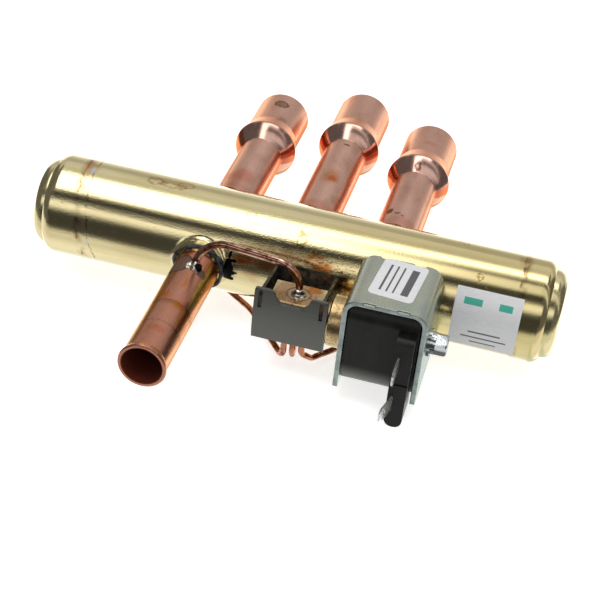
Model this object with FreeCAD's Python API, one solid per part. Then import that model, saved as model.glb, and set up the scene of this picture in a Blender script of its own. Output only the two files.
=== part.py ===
import FreeCAD, Part
import math
import os

# Four-way reversing valve for a heat pump, with its pilot valve and solenoid coil.
# Millimetres. X runs along the valve body, +Y out of the three rear tubes, +Z up.
# The shapes are built with the body's axis on X, then moved so that the origin is
# the centre of the middle tube's mouth.

# Valve body and end caps
body_outer_r = 21.0
body_wall = 1.5
roll_r = 5.0
lip_drop = 1.9
cap_wall = 2.0
cap_reach = 9.5
cap_corner_r = 5.0
skirt_length = 5.1
skirt_wall = 2.4
cap_fit = 0.05

# Ports and tubes
port_pitch = 35.3
port_r = 8.0
stub_outer_r = 9.525
stub_wall = 1.1
outer_bead_y = 76.9
suction_bead_y = 91.7
outer_stub_reach = 108.0
suction_stub_reach = 124.0
bead_r = 13.9
bead_root_r = 2.6
bead_front_r = 5.6
bead_back_r = 3.0
bead_cone_length = 8.2
bead_cone_angle = 16.0
mouth_round = 0.4
socket_outer_r = 12.0
socket_bore_r = 11.15
discharge_outer_r = 8.9
discharge_bore_r = 7.975
discharge_reach = 91.9
discharge_inner_y = 17.0
rim_r = 9.54
rim_length = 2.6
rim_bow = 0.06
rim_round = 0.6
collar_wall = 1.4
collar_height = 3.0
collar_fillet = 2.8
stub_braze = 3.4
collar_braze = 1.4
collar_braze_width = 0.85
tube_fit = 0.03

# Valve seat, main slide and pistons
seat_thickness = 10.5
seat_margin = 3.2
stub_depth_in_seat = 5.25
slide_gap = 0.05
slide_wall = 2.0
slide_height = 12.0
slide_flange = 2.4
slide_flange_thick = 2.5
slide_round = 4.0
bridge_thick = 1.5
bridge_half_width = 15.0
bridge_drop = 6.0
bridge_tab_depth = 13.0
bridge_tab_inset = 3.0
window_fit = 0.1
flow_hole_r = 5.5
piston_seat_gap = 1.65
piston_thick = 6.0
piston_side_gap = 0.8
cup_side_gap = 0.07
cup_thick = 0.8
cup_lip = 3.2
cup_lip_thick = 0.7
cup_spring_thick = 0.4
cup_spring_width = 2.7
retainer_thick = 1.2
retainer_length = 4.55
retainer_side_gap = 1.6
rivet_r = 2.5
rivet_head_r = 5.0
rivet_head_thick = 2.2
rivet_head_round = 1.3
bridge_screw_r = 2.0
bridge_screw_head_r = 3.6
bridge_screw_head = 2.4
bridge_screw_length = 4.5
bridge_screw_z = 7.5
bridge_screw_drop = 7.0
screw_tip_gap = 0.3
stop_gap = 0.1

# Pilot valve
pilot_stand_off = 17.9
pilot_z = 1.2
pilot_r = 10.4
pilot_flat = 8.1
pilot_left_x = -0.3
pilot_block_right_x = 20.0
pilot_neck_r = 7.0
pilot_neck_length = 3.6
pilot_flange_length = 6.3
pilot_chamfer = 0.5
pilot_bore_r = 5.3
pilot_bore_left_x = 2.2
pilot_seat_drop = 2.0
pilot_seat_left_x = 2.9
pilot_seat_length = 14.4
pilot_port_pitch = 3.6
pilot_port_x = 9.8
pilot_port_r = 0.9
pilot_slide_wall = 1.2
pilot_slide_half_width = 2.2
pilot_slide_height = 2.2
pilot_slide_round = 0.6
pilot_slide_rim = 1.1
pilot_slide_dent = 1.0
pocket_fit = 0.1
leaf_half_length = 2.6
leaf_half_width = 1.2
leaf_thick = 0.15
leaf_rise = 0.62
leaf_gap = 0.02
tube_wall = 0.5
tube_inner_r = 5.3
plunger_r = 5.23
plunger_left_x = 28.5
plunger_length = 18.5
pilot_stroke = 3.6
core_gap = 0.1
groove_half_width = 0.6
groove_depth = 0.8
spring_wire_r = 0.3
spring_coil_r = 2.3
spring_turns = 5
spring_wire_sides = 8
spring_end_gap = 0.05
spring_pocket = 7.0
carrier_r = 4.9
carrier_rise = 0.4
carrier_stem_r = 2.0
carrier_stem_depth = 4.5

# Pilot bracket and clamp plate
bracket_sheet = 1.2
bracket_centre_x = 8.85
bracket_half_height = 8.3
cheek_offset = 12.1
cheek_overlap = 0.4
cheek_low_rise = 1.5
clamp_stand_off = 8.3
clamp_thick = 1.3
clamp_half_length = 14.5
clamp_low_z = -9.2
clamp_high_z = 14.0
clamp_bow = 0.8
clamp_gap = 0.05
clamp_corner_round = 0.9
notch_aside = 0.6
notch_half_width = 6.9
notch_depth = 5.4
notch_round = 4.4
notch_lip_round = 2.6
slot_height = 7.4
slot_top_inset = 0.9
slot_fit = 0.15
tab_stand_out = 0.3

# Capillary tubes
discharge_capillary_r = 1.5
capillary_r = 1.3
capillary_insert = 1.8
chamber_inset = 1.8
under_gap = 0.1
side_stand_off = 3.6
chamber_run = 1.5
chamber_drill_run = 4.5
tap_drill_run = 2.5
tap_aside = 1.2
tap_stand_off = 12.4
tap_insert = 0.2
tap_rise = (3.3, 3.2, 10.925)
arch_over_port = (-3.4, 1.5, 11.7)
arch_drop = 4.3
arch_radii = (13.0, 9.5, 5.0)
suction_tap_stand_off = 13.0
suction_tap_depth = 0.9
suction_run = (2.0, 17.0)
suction_drop = 8.0
suction_radii = (5.0, 14.0, 5.0)
left_run = ((-14.5, -12.8), (-44.0, 9.5))
left_radii = (3.6, 30.0, 10.0, 8.0, 3.2)
left_bend_x = 58.0
right_port_drop = 11.6
right_run = ((17.2, -35.4), (32.0, -17.0), (58.0, 8.5))
right_radii = (3.2, 4.0, 30.0, 10.0, 8.0, 3.2)
right_bend_x = 71.0

# Solenoid coil
frame_left_x = 30.0
frame_width = 32.6
frame_stand_off = 1.0
frame_depth = 33.1
frame_low_z = -17.8
frame_high_z = 23.7
frame_sheet = 2.0
frame_bend_r = 6.0
crimp_half_span = 6.5
crimp_width = 4.5
crimp_depth = 0.9
crimp_sunk = 0.8
coil_gap = 0.4
coil_front_inset = 0.8
coil_low_inset = 1.6
coil_round = 7.0
stem_fit = 0.15
winding_outer_r = 14.2
winding_inner_r = 7.2
winding_inset = 3.0
lead_r = 0.5
lead_bend_r = 1.2
lead_overlap = 1.0
lower_lead_rise = 5.0
lower_lead_aside = 0.5
ridge_width = 7.0
ridge_right_inset = 0.8
ridge_stand_out = 5.7
ridge_low_z = -26.0
ridge_seam_z = -6.0
ridge_seam_step = 0.5
ridge_end_round = 3.3
ridge_tip_round = 3.5
blade_width = 6.3
blade_thick = 0.8
blade_length = 11.0
blade_root = 3.0
blade_hole_r = 0.9
blade_hole_reach = 6.8
blade_chamfer = 1.2
upper_blade_top_z = 6.8
lower_blade_top_z = -11.4
lower_blade_turn = 14.0
blade_left_inset = 1.6
washer_r = 5.6
washer_thick = 1.0
lock_washer_r = 4.5
lock_washer_thick = 1.7
lock_washer_gap = 0.6
screw_flats = 8.0
screw_head = 4.6
screw_head_turn = 32.0
screw_head_chamfer = 0.8
screw_shank_r = 2.0
screw_shank = 6.0

# Labels
label_thick = 0.12
coil_label_size = (17.6, 25.4)
coil_label_round = 2.0
coil_label_inset = (16.9, 13.6)
coil_label_turn = -5.0
body_label_inset = 5.7
body_label_width = 26.4
body_label_angles = (-35.0, 42.5)

# Worked-out sizes that several pieces share
bore_r = body_outer_r - body_wall
piston_r = bore_r - piston_side_gap
cup_r = bore_r - cup_side_gap
retainer_r = bore_r - retainer_side_gap
roll_angle = math.acos((roll_r - lip_drop) / roll_r)
rest_shift = -port_pitch / 2
seat_half_length = port_pitch + port_r + seat_margin
piston_inner_x = seat_half_length + port_pitch / 2 + piston_seat_gap
retainer_out_x = piston_inner_x + piston_thick + cup_thick + retainer_length
skirt_x = retainer_out_x + port_pitch / 2 + stop_gap
shoulder_x = skirt_x + skirt_length
cap_end_x = shoulder_x + cap_reach
slide_half_length = port_pitch / 2 + port_r + slide_wall
slide_half_width = port_r + slide_wall
pilot_slide_half_length = pilot_port_pitch / 2 + pilot_port_r + pilot_slide_wall
seat_face_y = bore_r - seat_thickness
stub_inner_y = bore_r - stub_depth_in_seat
bridge_y = seat_face_y - bridge_drop
pilot_neck_right_x = pilot_block_right_x + pilot_neck_length
pilot_right_x = pilot_neck_right_x + pilot_flange_length
tube_outer_r = tube_inner_r + tube_wall
pilot_y = -body_outer_r - pilot_stand_off
clamp_front_y = pilot_y - clamp_stand_off
frame_back_y = -body_outer_r - frame_stand_off
frame_right_x = frame_left_x + frame_width
frame_front_y = frame_back_y - frame_depth
ridge_front_y = frame_front_y - ridge_stand_out
core_left_x = plunger_left_x + plunger_length + pilot_stroke + core_gap
core_right_x = frame_right_x - frame_sheet
pilot_flat_top_z = pilot_z + pilot_flat
pilot_flat_low_z = pilot_z - pilot_flat
chamber_x = shoulder_x - chamber_inset
under_z = -body_outer_r - capillary_r - under_gap
side_r = body_outer_r + side_stand_off

X = FreeCAD.Vector(1, 0, 0)
Y = FreeCAD.Vector(0, 1, 0)
Z = FreeCAD.Vector(0, 0, 1)
nodes = {}


def point(x, y, z):
    return FreeCAD.Vector(x, y, z)


def rod(x0, x1, r, y=0.0, z=0.0):
    """A round bar along X."""
    return Part.makeCylinder(r, x1 - x0, point(x0, y, z), X)


def post(y0, y1, r, x=0.0, z=0.0):
    """A round bar along Y."""
    return Part.makeCylinder(r, y1 - y0, point(x, y0, z), Y)


def block(x0, x1, y0, y1, z0, z1):
    """A box between two corners."""
    return Part.makeBox(x1 - x0, y1 - y0, z1 - z0, point(x0, y0, z0))


def tube(x0, x1, outer, inner, y=0.0, z=0.0):
    """A round tube along X."""
    return rod(x0, x1, outer, y, z).cut(rod(x0 - 1, x1 + 1, inner, y, z))


def outline(start, steps):
    """Edges from a start point: each step is an end point, or a middle and an end of an arc."""
    edges = []
    here = start
    for step in steps:
        if isinstance(step, tuple):
            edges.append(Part.Arc(here, step[0], step[1]).toShape())
            here = step[1]
        else:
            edges.append(Part.LineSegment(here, step).toShape())
            here = step
    if not here.isEqual(start, 1e-7):
        edges.append(Part.LineSegment(here, start).toShape())
    return Part.Face(Part.Wire(edges))


def turned(face, base, axis):
    """A full turn of a flat outline about an axis."""
    return face.revolve(base, axis, 360)


def edges_where(shape, test):
    """The edges of a shape whose middle point passes a test."""
    return [e for e in shape.Edges if test(e.CenterOfMass, e)]


def runs_along(edge, axis):
    """True where a straight edge is parallel to an axis."""
    if edge.Curve.TypeId != "Part::GeomLine":
        return False
    return abs(abs(edge.Curve.Direction.dot(axis)) - 1) < 1e-6


def sheet_slot(x_half, z_half, y0, y1, x=0.0, z=0.0):
    """A bar along Y with a stadium section, round at both X ends."""
    middle = block(x - x_half + z_half, x + x_half - z_half, y0, y1, z - z_half, z + z_half)
    left = post(y0, y1, z_half, x - x_half + z_half, z)
    right = post(y0, y1, z_half, x + x_half - z_half, z)
    return middle.fuse([left, right]).removeSplitter()


def bent_rod(points, radii, r):
    """A round bar along straight runs joined by tangent arcs, one radius for each corner."""
    edges = []
    here = points[0]
    for i in range(1, len(points) - 1):
        corner = points[i]
        back = (points[i - 1] - corner).normalize()
        ahead = (points[i + 1] - corner).normalize()
        half = back.getAngle(ahead) / 2
        cut_back = radii[i - 1] / math.tan(half)
        centre = corner + (back + ahead).normalize() * (radii[i - 1] / math.sin(half))
        middle = centre + (corner - centre).normalize() * radii[i - 1]
        arc_start = corner + back * cut_back
        arc_end = corner + ahead * cut_back
        edges.append(Part.LineSegment(here, arc_start).toShape())
        edges.append(Part.Arc(arc_start, middle, arc_end).toShape())
        here = arc_end
    edges.append(Part.LineSegment(here, points[-1]).toShape())
    path = Part.Wire(edges)
    ring = Part.Wire([Part.Circle(points[0], points[1] - points[0], r).toShape()])
    return path.makePipeShell([ring], True, False)


def mirrored_x(shape):
    """The same piece at the other end of the body."""
    return shape.mirror(point(0, 0, 0), X)


# Valve body: a drawn brass tube, rolled in at both ends over the caps, with one pulled collar
def body_tube():
    drop = math.cos(roll_angle)
    reach = math.sin(roll_angle)
    half = roll_angle / 2
    centre_r = body_outer_r - roll_r
    inner_roll = roll_r - body_wall

    def on_roll(r, angle, side):
        return point(side * (shoulder_x + r * math.sin(angle)), 0, centre_r + r * math.cos(angle))

    wall = outline(point(-shoulder_x, 0, body_outer_r), [
        point(shoulder_x, 0, body_outer_r),
        (on_roll(roll_r, half, 1), on_roll(roll_r, roll_angle, 1)),
        point(shoulder_x + inner_roll * reach, 0, centre_r + inner_roll * drop),
        (on_roll(inner_roll, half, 1), point(shoulder_x, 0, bore_r)),
        point(-shoulder_x, 0, bore_r),
        (on_roll(inner_roll, half, -1), on_roll(inner_roll, roll_angle, -1)),
        on_roll(roll_r, roll_angle, -1),
        (on_roll(roll_r, half, -1), point(-shoulder_x, 0, body_outer_r)),
    ])
    shell = turned(wall, point(0, 0, 0), X)
    collar_r = discharge_outer_r + tube_fit + collar_wall
    collar = post(-body_outer_r - collar_height, -body_outer_r / 2, collar_r, -port_pitch)
    collar = collar.cut(rod(-shoulder_x, shoulder_x, body_outer_r - body_wall / 2))
    shell = shell.fuse(collar).removeSplitter()
    root = edges_where(shell, lambda c, e: is_collar_root(e, collar_r))
    shell = shell.makeFillet(collar_fillet, root)
    tips = edges_where(shell, lambda c, e: c.y < -body_outer_r - collar_height + 0.01)
    shell = shell.makeFillet(collar_wall / 2, tips)
    hole_r = discharge_outer_r + tube_fit
    shell = shell.cut(post(-body_outer_r - 2 * collar_height, 0, hole_r, -port_pitch))
    for x in (-port_pitch, 0.0, port_pitch):
        shell = shell.cut(post(0, body_outer_r + 1, stub_outer_r + tube_fit, x))
    for side in (-1, 1):
        shell = shell.cut(chamber_drill(side))
    return shell


def is_collar_root(edge, collar_r):
    """The curve where the collar meets the outside of the body."""
    if edge.Length < collar_r * 3:
        return False
    box = edge.BoundBox
    near = abs(box.Center.x + port_pitch) < 0.5
    return near and box.YMin > -body_outer_r - 0.2 and box.YMax < -body_outer_r / 2 and box.YLength > 0.5


def chamber_drill(side):
    """The small hole for an end capillary, in the lower rear of the body near one end."""
    out = point(0, 1, -1).normalize()
    start = point(side * chamber_x, 0, 0) + out * (bore_r - chamber_drill_run)
    return Part.makeCylinder(capillary_r + tube_fit, body_wall + 2 * chamber_drill_run, start, out)


# End cap: a drawn brass cup, held under the rolled lip; the skirt inside stops the piston
def end_cap(side):
    skirt_r = bore_r - cap_fit
    centre_r = body_outer_r - roll_r
    inner_roll = roll_r - body_wall - cap_fit
    dome_r = centre_r + inner_roll * math.cos(roll_angle)
    neck_x = shoulder_x + inner_roll * math.sin(roll_angle)
    corner_x = cap_end_x - cap_corner_r
    corner_r = dome_r - cap_corner_r
    inner_end = cap_end_x - cap_wall
    inner_corner = cap_corner_r - cap_wall
    skirt_in_r = skirt_r - skirt_wall
    slope = math.sqrt(0.5)
    half = roll_angle / 2
    face = outline(point(skirt_x, 0, skirt_r), [
        point(shoulder_x, 0, skirt_r),
        (point(shoulder_x + inner_roll * math.sin(half), 0, centre_r + inner_roll * math.cos(half)),
         point(neck_x, 0, dome_r)),
        point(corner_x, 0, dome_r),
        (point(corner_x + cap_corner_r * slope, 0, corner_r + cap_corner_r * slope),
         point(cap_end_x, 0, corner_r)),
        point(cap_end_x, 0, 0),
        point(inner_end, 0, 0),
        point(inner_end, 0, corner_r),
        (point(corner_x + inner_corner * slope, 0, corner_r + inner_corner * slope),
         point(corner_x, 0, dome_r - cap_wall)),
        point(shoulder_x, 0, skirt_in_r),
        point(skirt_x, 0, skirt_in_r),
    ])
    cap = turned(face, point(0, 0, 0), X).cut(chamber_drill(1))
    if side < 0:
        cap = mirrored_x(cap)
    return cap


# Valve seat: a brass bar with a flat face and three ports, brazed inside the rear wall
def valve_seat():
    bar = rod(-seat_half_length, seat_half_length, bore_r - cap_fit)
    bar = bar.common(block(-seat_half_length, seat_half_length, seat_face_y, bore_r, -bore_r, bore_r))
    for x in (-port_pitch, 0.0, port_pitch):
        bar = bar.cut(post(seat_face_y - 1, bore_r, port_r, x))
        bar = bar.cut(post(stub_inner_y, bore_r + 1, stub_outer_r + tube_fit, x))
    return bar


# Rear tube: copper, swaged to a socket behind a rolled bead that stops the pipe
def bead_steps(x, bead_y, tube_r, top_r, root_r, front_r, back_r):
    """The bead's outline: a hollow arc out of the tube, a round front, a crown and a cone behind."""
    lean = math.asin(1 - (top_r - tube_r) / (root_r + front_r))
    foot_y = bead_y - (root_r + front_r) * math.cos(lean)

    def on_root(angle):
        return point(x + tube_r + root_r - root_r * math.sin(angle), foot_y + root_r * math.cos(angle), 0)

    def on_crown(r, angle):
        return point(x + top_r - r + r * math.sin(angle), bead_y - r * math.cos(angle), 0)

    cone = math.pi / 2 + math.radians(bead_cone_angle)
    return [
        point(x + tube_r, foot_y, 0),
        (on_root((lean + math.pi / 2) / 2), on_root(lean)),
        (on_crown(front_r, (lean + math.pi / 2) / 2), on_crown(front_r, math.pi / 2)),
        (on_crown(back_r, (cone + math.pi / 2) / 2), on_crown(back_r, cone)),
    ]


def rear_stub(x, bead_y, reach):
    cone_y = bead_y + bead_cone_length
    inner_r = stub_outer_r - stub_wall
    outer = outline(point(x, stub_inner_y, 0), [point(x + stub_outer_r, stub_inner_y, 0)]
                    + bead_steps(x, bead_y, stub_outer_r, bead_r, bead_root_r, bead_front_r, bead_back_r) + [
        point(x + socket_outer_r, cone_y, 0),
        point(x + socket_outer_r, reach - mouth_round, 0),
        point(x + socket_outer_r - mouth_round, reach, 0),
        point(x, reach, 0),
    ])
    inner = outline(point(x, stub_inner_y - 1, 0), [point(x + inner_r, stub_inner_y - 1, 0)]
                    + bead_steps(x, bead_y, inner_r, bead_r - stub_wall, bead_root_r + stub_wall,
                                 bead_front_r - stub_wall, bead_back_r - stub_wall) + [
        point(x + socket_bore_r, cone_y, 0),
        point(x + socket_bore_r, reach + 1, 0),
        point(x, reach + 1, 0),
    ])
    axis = point(x, 0, 0)
    shape = turned(outer, axis, Y).cut(turned(inner, axis, Y))
    if x == 0.0:
        start = suction_tap() - Z * tap_drill_run
        shape = shape.cut(Part.makeCylinder(capillary_r + tube_fit, 2 * tap_drill_run, start, Z))
    return shape


def suction_tap():
    """Where the middle capillary enters the suction tube, from below."""
    return point(0, body_outer_r + suction_tap_stand_off, -stub_outer_r)


# Discharge tube: copper, brazed into the collar, its mouth rolled to a small rim
def discharge_tube():
    x = -port_pitch
    mouth = -discharge_reach
    rim_y = mouth + rim_length
    flare_x = x + (discharge_outer_r + rim_r) / 2 + rim_bow
    flare_y = (rim_y + mouth + rim_round) / 2
    corner = rim_round * (1 - math.sqrt(0.5))
    outer = outline(point(x, -discharge_inner_y, 0), [
        point(x + discharge_outer_r, -discharge_inner_y, 0),
        point(x + discharge_outer_r, rim_y, 0),
        (point(flare_x, flare_y, 0), point(x + rim_r, mouth + rim_round, 0)),
        (point(x + rim_r - corner, mouth + corner, 0), point(x + rim_r - rim_round, mouth, 0)),
        point(x, mouth, 0),
    ])
    shape = turned(outer, point(x, 0, 0), Y)
    shape = shape.cut(post(mouth - 1, -discharge_inner_y + 1, discharge_bore_r, x))
    start, first = discharge_tap()
    depth = 2 * (discharge_outer_r - discharge_bore_r + discharge_capillary_r)
    return shape.cut(Part.makeCylinder(discharge_capillary_r + tube_fit, depth, start, first - start))


def discharge_tap():
    """The first two points of the capillary that leaves the top of the discharge tube."""
    start = point(tap_aside - port_pitch, -body_outer_r - tap_stand_off, discharge_bore_r + tap_insert)
    return [start, start + point(*tap_rise)]


# Braze fillets round the four tubes where they enter the body
def braze_fillets():
    rings = []
    body = rod(-shoulder_x, shoulder_x, body_outer_r)
    for x in (-port_pitch, 0.0, port_pitch):
        cone = Part.makeCone(stub_outer_r + stub_braze, stub_outer_r + tube_fit, stub_braze,
                             point(x, body_outer_r - stub_braze / 2, 0), Y)
        rings.append(cone.cut([body, post(0, outer_stub_reach, stub_outer_r, x)]))
    top = -body_outer_r - collar_height
    collar = Part.makeCone(discharge_outer_r + collar_braze_width, discharge_outer_r + tube_fit,
                           collar_braze, point(-port_pitch, top, 0), Y * -1)
    rings.append(collar.cut(post(-discharge_reach, 0, discharge_outer_r, -port_pitch)))
    return Part.makeCompound(rings)


# Main slide: a moulded nylon cup that joins the middle port to one of its neighbours
def main_slide():
    face_y = seat_face_y - slide_gap
    cup = sheet_slot(slide_half_length, slide_half_width, face_y - slide_height, face_y)
    top = edges_where(cup, lambda c, e: abs(c.y - face_y + slide_height) < 1e-6)
    cup = cup.makeFillet(slide_round, top)
    foot = sheet_slot(slide_half_length + slide_flange, slide_half_width + slide_flange,
                      face_y - slide_flange_thick, face_y)
    hollow = sheet_slot(slide_half_length - slide_wall, slide_half_width - slide_wall,
                        face_y - slide_height + slide_wall, face_y + 1)
    inner_top = edges_where(hollow, lambda c, e: abs(c.y - face_y + slide_height - slide_wall) < 1e-6)
    hollow = hollow.makeFillet(slide_round - slide_wall / 2, inner_top)
    return cup.fuse(foot).removeSplitter().cut(hollow)


# Piston bridge: a steel strap with a window for the slide, folded at both ends
def piston_bridge():
    plate = block(-piston_inner_x, piston_inner_x, bridge_y, bridge_y + bridge_thick,
                  -bridge_half_width, bridge_half_width)
    window = sheet_slot(slide_half_length + window_fit, slide_half_width + window_fit,
                        bridge_y - 1, bridge_y + bridge_thick + 1)
    plate = plate.cut(window)
    hole_x = (slide_half_length + piston_inner_x) / 2
    tab_half_width = bridge_half_width - bridge_tab_inset
    for side in (-1, 1):
        tab = block(-bridge_thick / 2, bridge_thick / 2, bridge_y - bridge_tab_depth,
                    bridge_y + bridge_thick, -tab_half_width, tab_half_width)
        tab.translate(X * side * (piston_inner_x - bridge_thick / 2))
        plate = plate.fuse(tab)
        plate = plate.cut(post(bridge_y - 1, bridge_y + bridge_thick + 1, flow_hole_r, side * hole_x))
    plate = plate.removeSplitter()
    for x, z in screw_places():
        hole_y = bridge_y - bridge_screw_drop
        drill = rod(x - 2 * bridge_thick, x + 2 * bridge_thick, bridge_screw_r + tube_fit, hole_y, z)
        plate = plate.cut(drill)
    return plate


def screw_places():
    """Where the four bridge screws go: the end of the bridge, and the height."""
    ends = (-piston_inner_x, piston_inner_x)
    return [(x, z) for x in ends for z in (-bridge_screw_z, bridge_screw_z)]


def bridge_screws():
    screws = []
    for x, z in screw_places():
        side = 1 if x > 0 else -1
        y = bridge_y - bridge_screw_drop
        head_x = x - side * bridge_thick
        shank = Part.makeCylinder(bridge_screw_r, bridge_screw_length, point(head_x, y, z), X * side)
        head = Part.makeCylinder(bridge_screw_head_r, bridge_screw_head, point(head_x, y, z), X * -side)
        screws.append(head.fuse(shank).removeSplitter())
    return Part.makeCompound(screws)


# Piston: a brass disc with a sealing cup, a spring ring and a dished retainer, riveted together
def piston(side):
    disc = rod(piston_inner_x, piston_inner_x + piston_thick, piston_r)
    disc = disc.cut(rod(piston_inner_x - 1, piston_inner_x + piston_thick + 1, rivet_r))
    for z in (-bridge_screw_z, bridge_screw_z):
        depth = piston_inner_x + bridge_screw_length - bridge_thick + screw_tip_gap
        disc = disc.cut(rod(piston_inner_x - 1, depth, bridge_screw_r, bridge_y - bridge_screw_drop, z))
    return disc if side > 0 else mirrored_x(disc)


def piston_cup(side):
    x0 = piston_inner_x + piston_thick
    cup = rod(x0, x0 + cup_thick + cup_lip, cup_r)
    cup = cup.cut(rod(x0 + cup_thick, x0 + cup_thick + cup_lip + 1, cup_r - cup_lip_thick))
    cup = cup.cut(rod(x0 - 1, x0 + cup_thick + 1, rivet_r))
    return cup if side > 0 else mirrored_x(cup)


def cup_spring(side):
    x0 = piston_inner_x + piston_thick + cup_thick
    outer = cup_r - cup_lip_thick
    ring = tube(x0, x0 + cup_spring_width, outer, outer - cup_spring_thick)
    return ring if side > 0 else mirrored_x(ring)


def retainer(side):
    x0 = piston_inner_x + piston_thick + cup_thick
    dish = rod(x0, retainer_out_x, retainer_r)
    dish = dish.cut(rod(x0 + retainer_thick, retainer_out_x + 1, retainer_r - retainer_thick))
    dish = dish.cut(rod(x0 - 1, retainer_out_x + 1, rivet_r))
    return dish if side > 0 else mirrored_x(dish)


def piston_rivets():
    rivets = []
    x1 = piston_inner_x + piston_thick + cup_thick + retainer_thick
    for side in (-1, 1):
        shank = rod(piston_inner_x, x1, rivet_r)
        head = rod(x1, x1 + rivet_head_thick, rivet_head_r)
        rim = edges_where(head, lambda c, e: abs(c.x - x1 - rivet_head_thick) < 1e-6 and e.Closed)
        head = head.makeFillet(rivet_head_round, rim)
        rivet = shank.fuse(head).removeSplitter()
        rivets.append(rivet if side > 0 else mirrored_x(rivet))
    return Part.makeCompound(rivets)


# Pilot body: a turned brass bar with flats above, below and in front, a neck and a round flange
def pilot_body():
    bar = rod(pilot_left_x, pilot_block_right_x, pilot_r, pilot_y, pilot_z)
    bar = bar.common(block(pilot_left_x, pilot_block_right_x, clamp_front_y + clamp_thick + clamp_gap,
                           pilot_y + pilot_r, pilot_flat_low_z, pilot_flat_top_z))
    neck = rod(pilot_block_right_x, pilot_neck_right_x, pilot_neck_r, pilot_y, pilot_z)
    flange = rod(pilot_neck_right_x, pilot_right_x, pilot_r, pilot_y, pilot_z)
    rims = edges_where(flange, lambda c, e: e.Closed and e.Length > 2)
    flange = flange.makeChamfer(pilot_chamfer, [e for e in rims if e.Curve.TypeId == "Part::GeomCircle"])
    shape = bar.fuse([neck, flange]).removeSplitter()
    shape = shape.cut(rod(pilot_bore_left_x, pilot_right_x + 1, pilot_bore_r, pilot_y, pilot_z))
    shape = shape.cut(rod(pilot_neck_right_x, pilot_right_x + 1, tube_outer_r, pilot_y, pilot_z))
    for x in pilot_port_places():
        bottom = point(x, pilot_y, pilot_flat_low_z - 1)
        shape = shape.cut(Part.makeCylinder(capillary_r + tube_fit, capillary_insert + 1, bottom, Z))
        shape = shape.cut(Part.makeCylinder(pilot_port_r, pilot_flat + 1, bottom, Z))
    top = point(pilot_port_x, pilot_y, pilot_flat_top_z - capillary_insert)
    shape = shape.cut(Part.makeCylinder(discharge_capillary_r + tube_fit, capillary_insert + 1, top, Z))
    axis = point(pilot_port_x, pilot_y, pilot_z)
    return shape.cut(Part.makeCylinder(pilot_port_r, pilot_flat, axis, Z))


def pilot_port_places():
    return [pilot_port_x + step * pilot_port_pitch for step in (-1, 0, 1)]


# Pilot seat: a small brass bar with three ports, under the pilot slide
def pilot_seat():
    right = pilot_seat_left_x + pilot_seat_length
    bar = rod(pilot_seat_left_x, right, pilot_bore_r - cap_fit, pilot_y, pilot_z)
    bar = bar.common(block(pilot_seat_left_x, right, pilot_y - pilot_r, pilot_y + pilot_r,
                           pilot_z - pilot_r, pilot_z - pilot_seat_drop))
    for x in pilot_port_places():
        bar = bar.cut(Part.makeCylinder(pilot_port_r, pilot_r, point(x, pilot_y, pilot_z - pilot_r), Z))
    return bar


def pilot_slide():
    """A moulded cup that joins the middle pilot port to one of its neighbours."""
    centre = pilot_port_x - pilot_port_pitch / 2
    low = pilot_z - pilot_seat_drop + slide_gap
    wide = pilot_slide_half_width
    cup = block(centre - pilot_slide_half_length, centre + pilot_slide_half_length,
                pilot_y - wide, pilot_y + wide, low, low + pilot_slide_height)
    cup = cup.makeFillet(pilot_slide_round, edges_where(cup, lambda c, e: runs_along(e, Z)))
    half = pilot_slide_half_length - pilot_slide_rim
    wide = wide - pilot_slide_rim
    top = low + pilot_slide_dent
    return cup.cut(block(centre - half, centre + half, pilot_y - wide, pilot_y + wide, low - 1, top))


def pilot_carrier():
    """A brass carrier, half round, with a pocket for the slide and a stem into the plunger."""
    floor_z = pilot_z - pilot_seat_drop + slide_gap + carrier_rise
    left = pilot_bore_left_x + stop_gap
    bar = rod(left, plunger_left_x, carrier_r, pilot_y, pilot_z)
    bar = bar.common(block(left, plunger_left_x, pilot_y - pilot_r, pilot_y + pilot_r,
                           floor_z, pilot_z + pilot_r))
    centre = pilot_port_x - pilot_port_pitch / 2
    half = pilot_slide_half_length + pocket_fit
    wide = pilot_slide_half_width + pocket_fit
    roof_z = floor_z - carrier_rise + pilot_slide_height + leaf_rise + leaf_thick + leaf_gap
    pocket = block(centre - half, centre + half, pilot_y - wide, pilot_y + wide, floor_z - 1, roof_z)
    bar = bar.cut(pocket)
    stem = rod(plunger_left_x, plunger_left_x + carrier_stem_depth, carrier_stem_r, pilot_y, pilot_z)
    return bar.fuse(stem).removeSplitter()


def slide_leaf():
    """A leaf spring between the carrier and the back of the pilot slide."""
    centre = pilot_port_x - pilot_port_pitch / 2
    low = pilot_z - pilot_seat_drop + slide_gap + pilot_slide_height
    start = point(centre - leaf_half_length, pilot_y - leaf_half_width, low + leaf_gap)
    middle = point(centre, pilot_y - leaf_half_width, low + leaf_rise)
    end = start + X * 2 * leaf_half_length
    thick = Z * leaf_thick
    face = outline(start, [(middle, end), end + thick, (middle + thick, start + thick)])
    return face.extrude(Y * 2 * leaf_half_width)


# Plunger and fixed core: soft iron, inside the closed stainless tube that the coil fits over
def plunger():
    x1 = plunger_left_x + plunger_length
    bar = rod(plunger_left_x, x1, plunger_r, pilot_y, pilot_z)
    bar = bar.cut(rod(x1 - spring_pocket, x1 + 1, spring_coil_r + 2 * spring_wire_r, pilot_y, pilot_z))
    stem_end = plunger_left_x + carrier_stem_depth
    bar = bar.cut(rod(plunger_left_x - 1, stem_end, carrier_stem_r, pilot_y, pilot_z))
    groove = block(stem_end, x1 + 1, pilot_y - groove_half_width, pilot_y + groove_half_width,
                   pilot_z + plunger_r - groove_depth, pilot_z + pilot_r)
    return bar.cut(groove)


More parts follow.
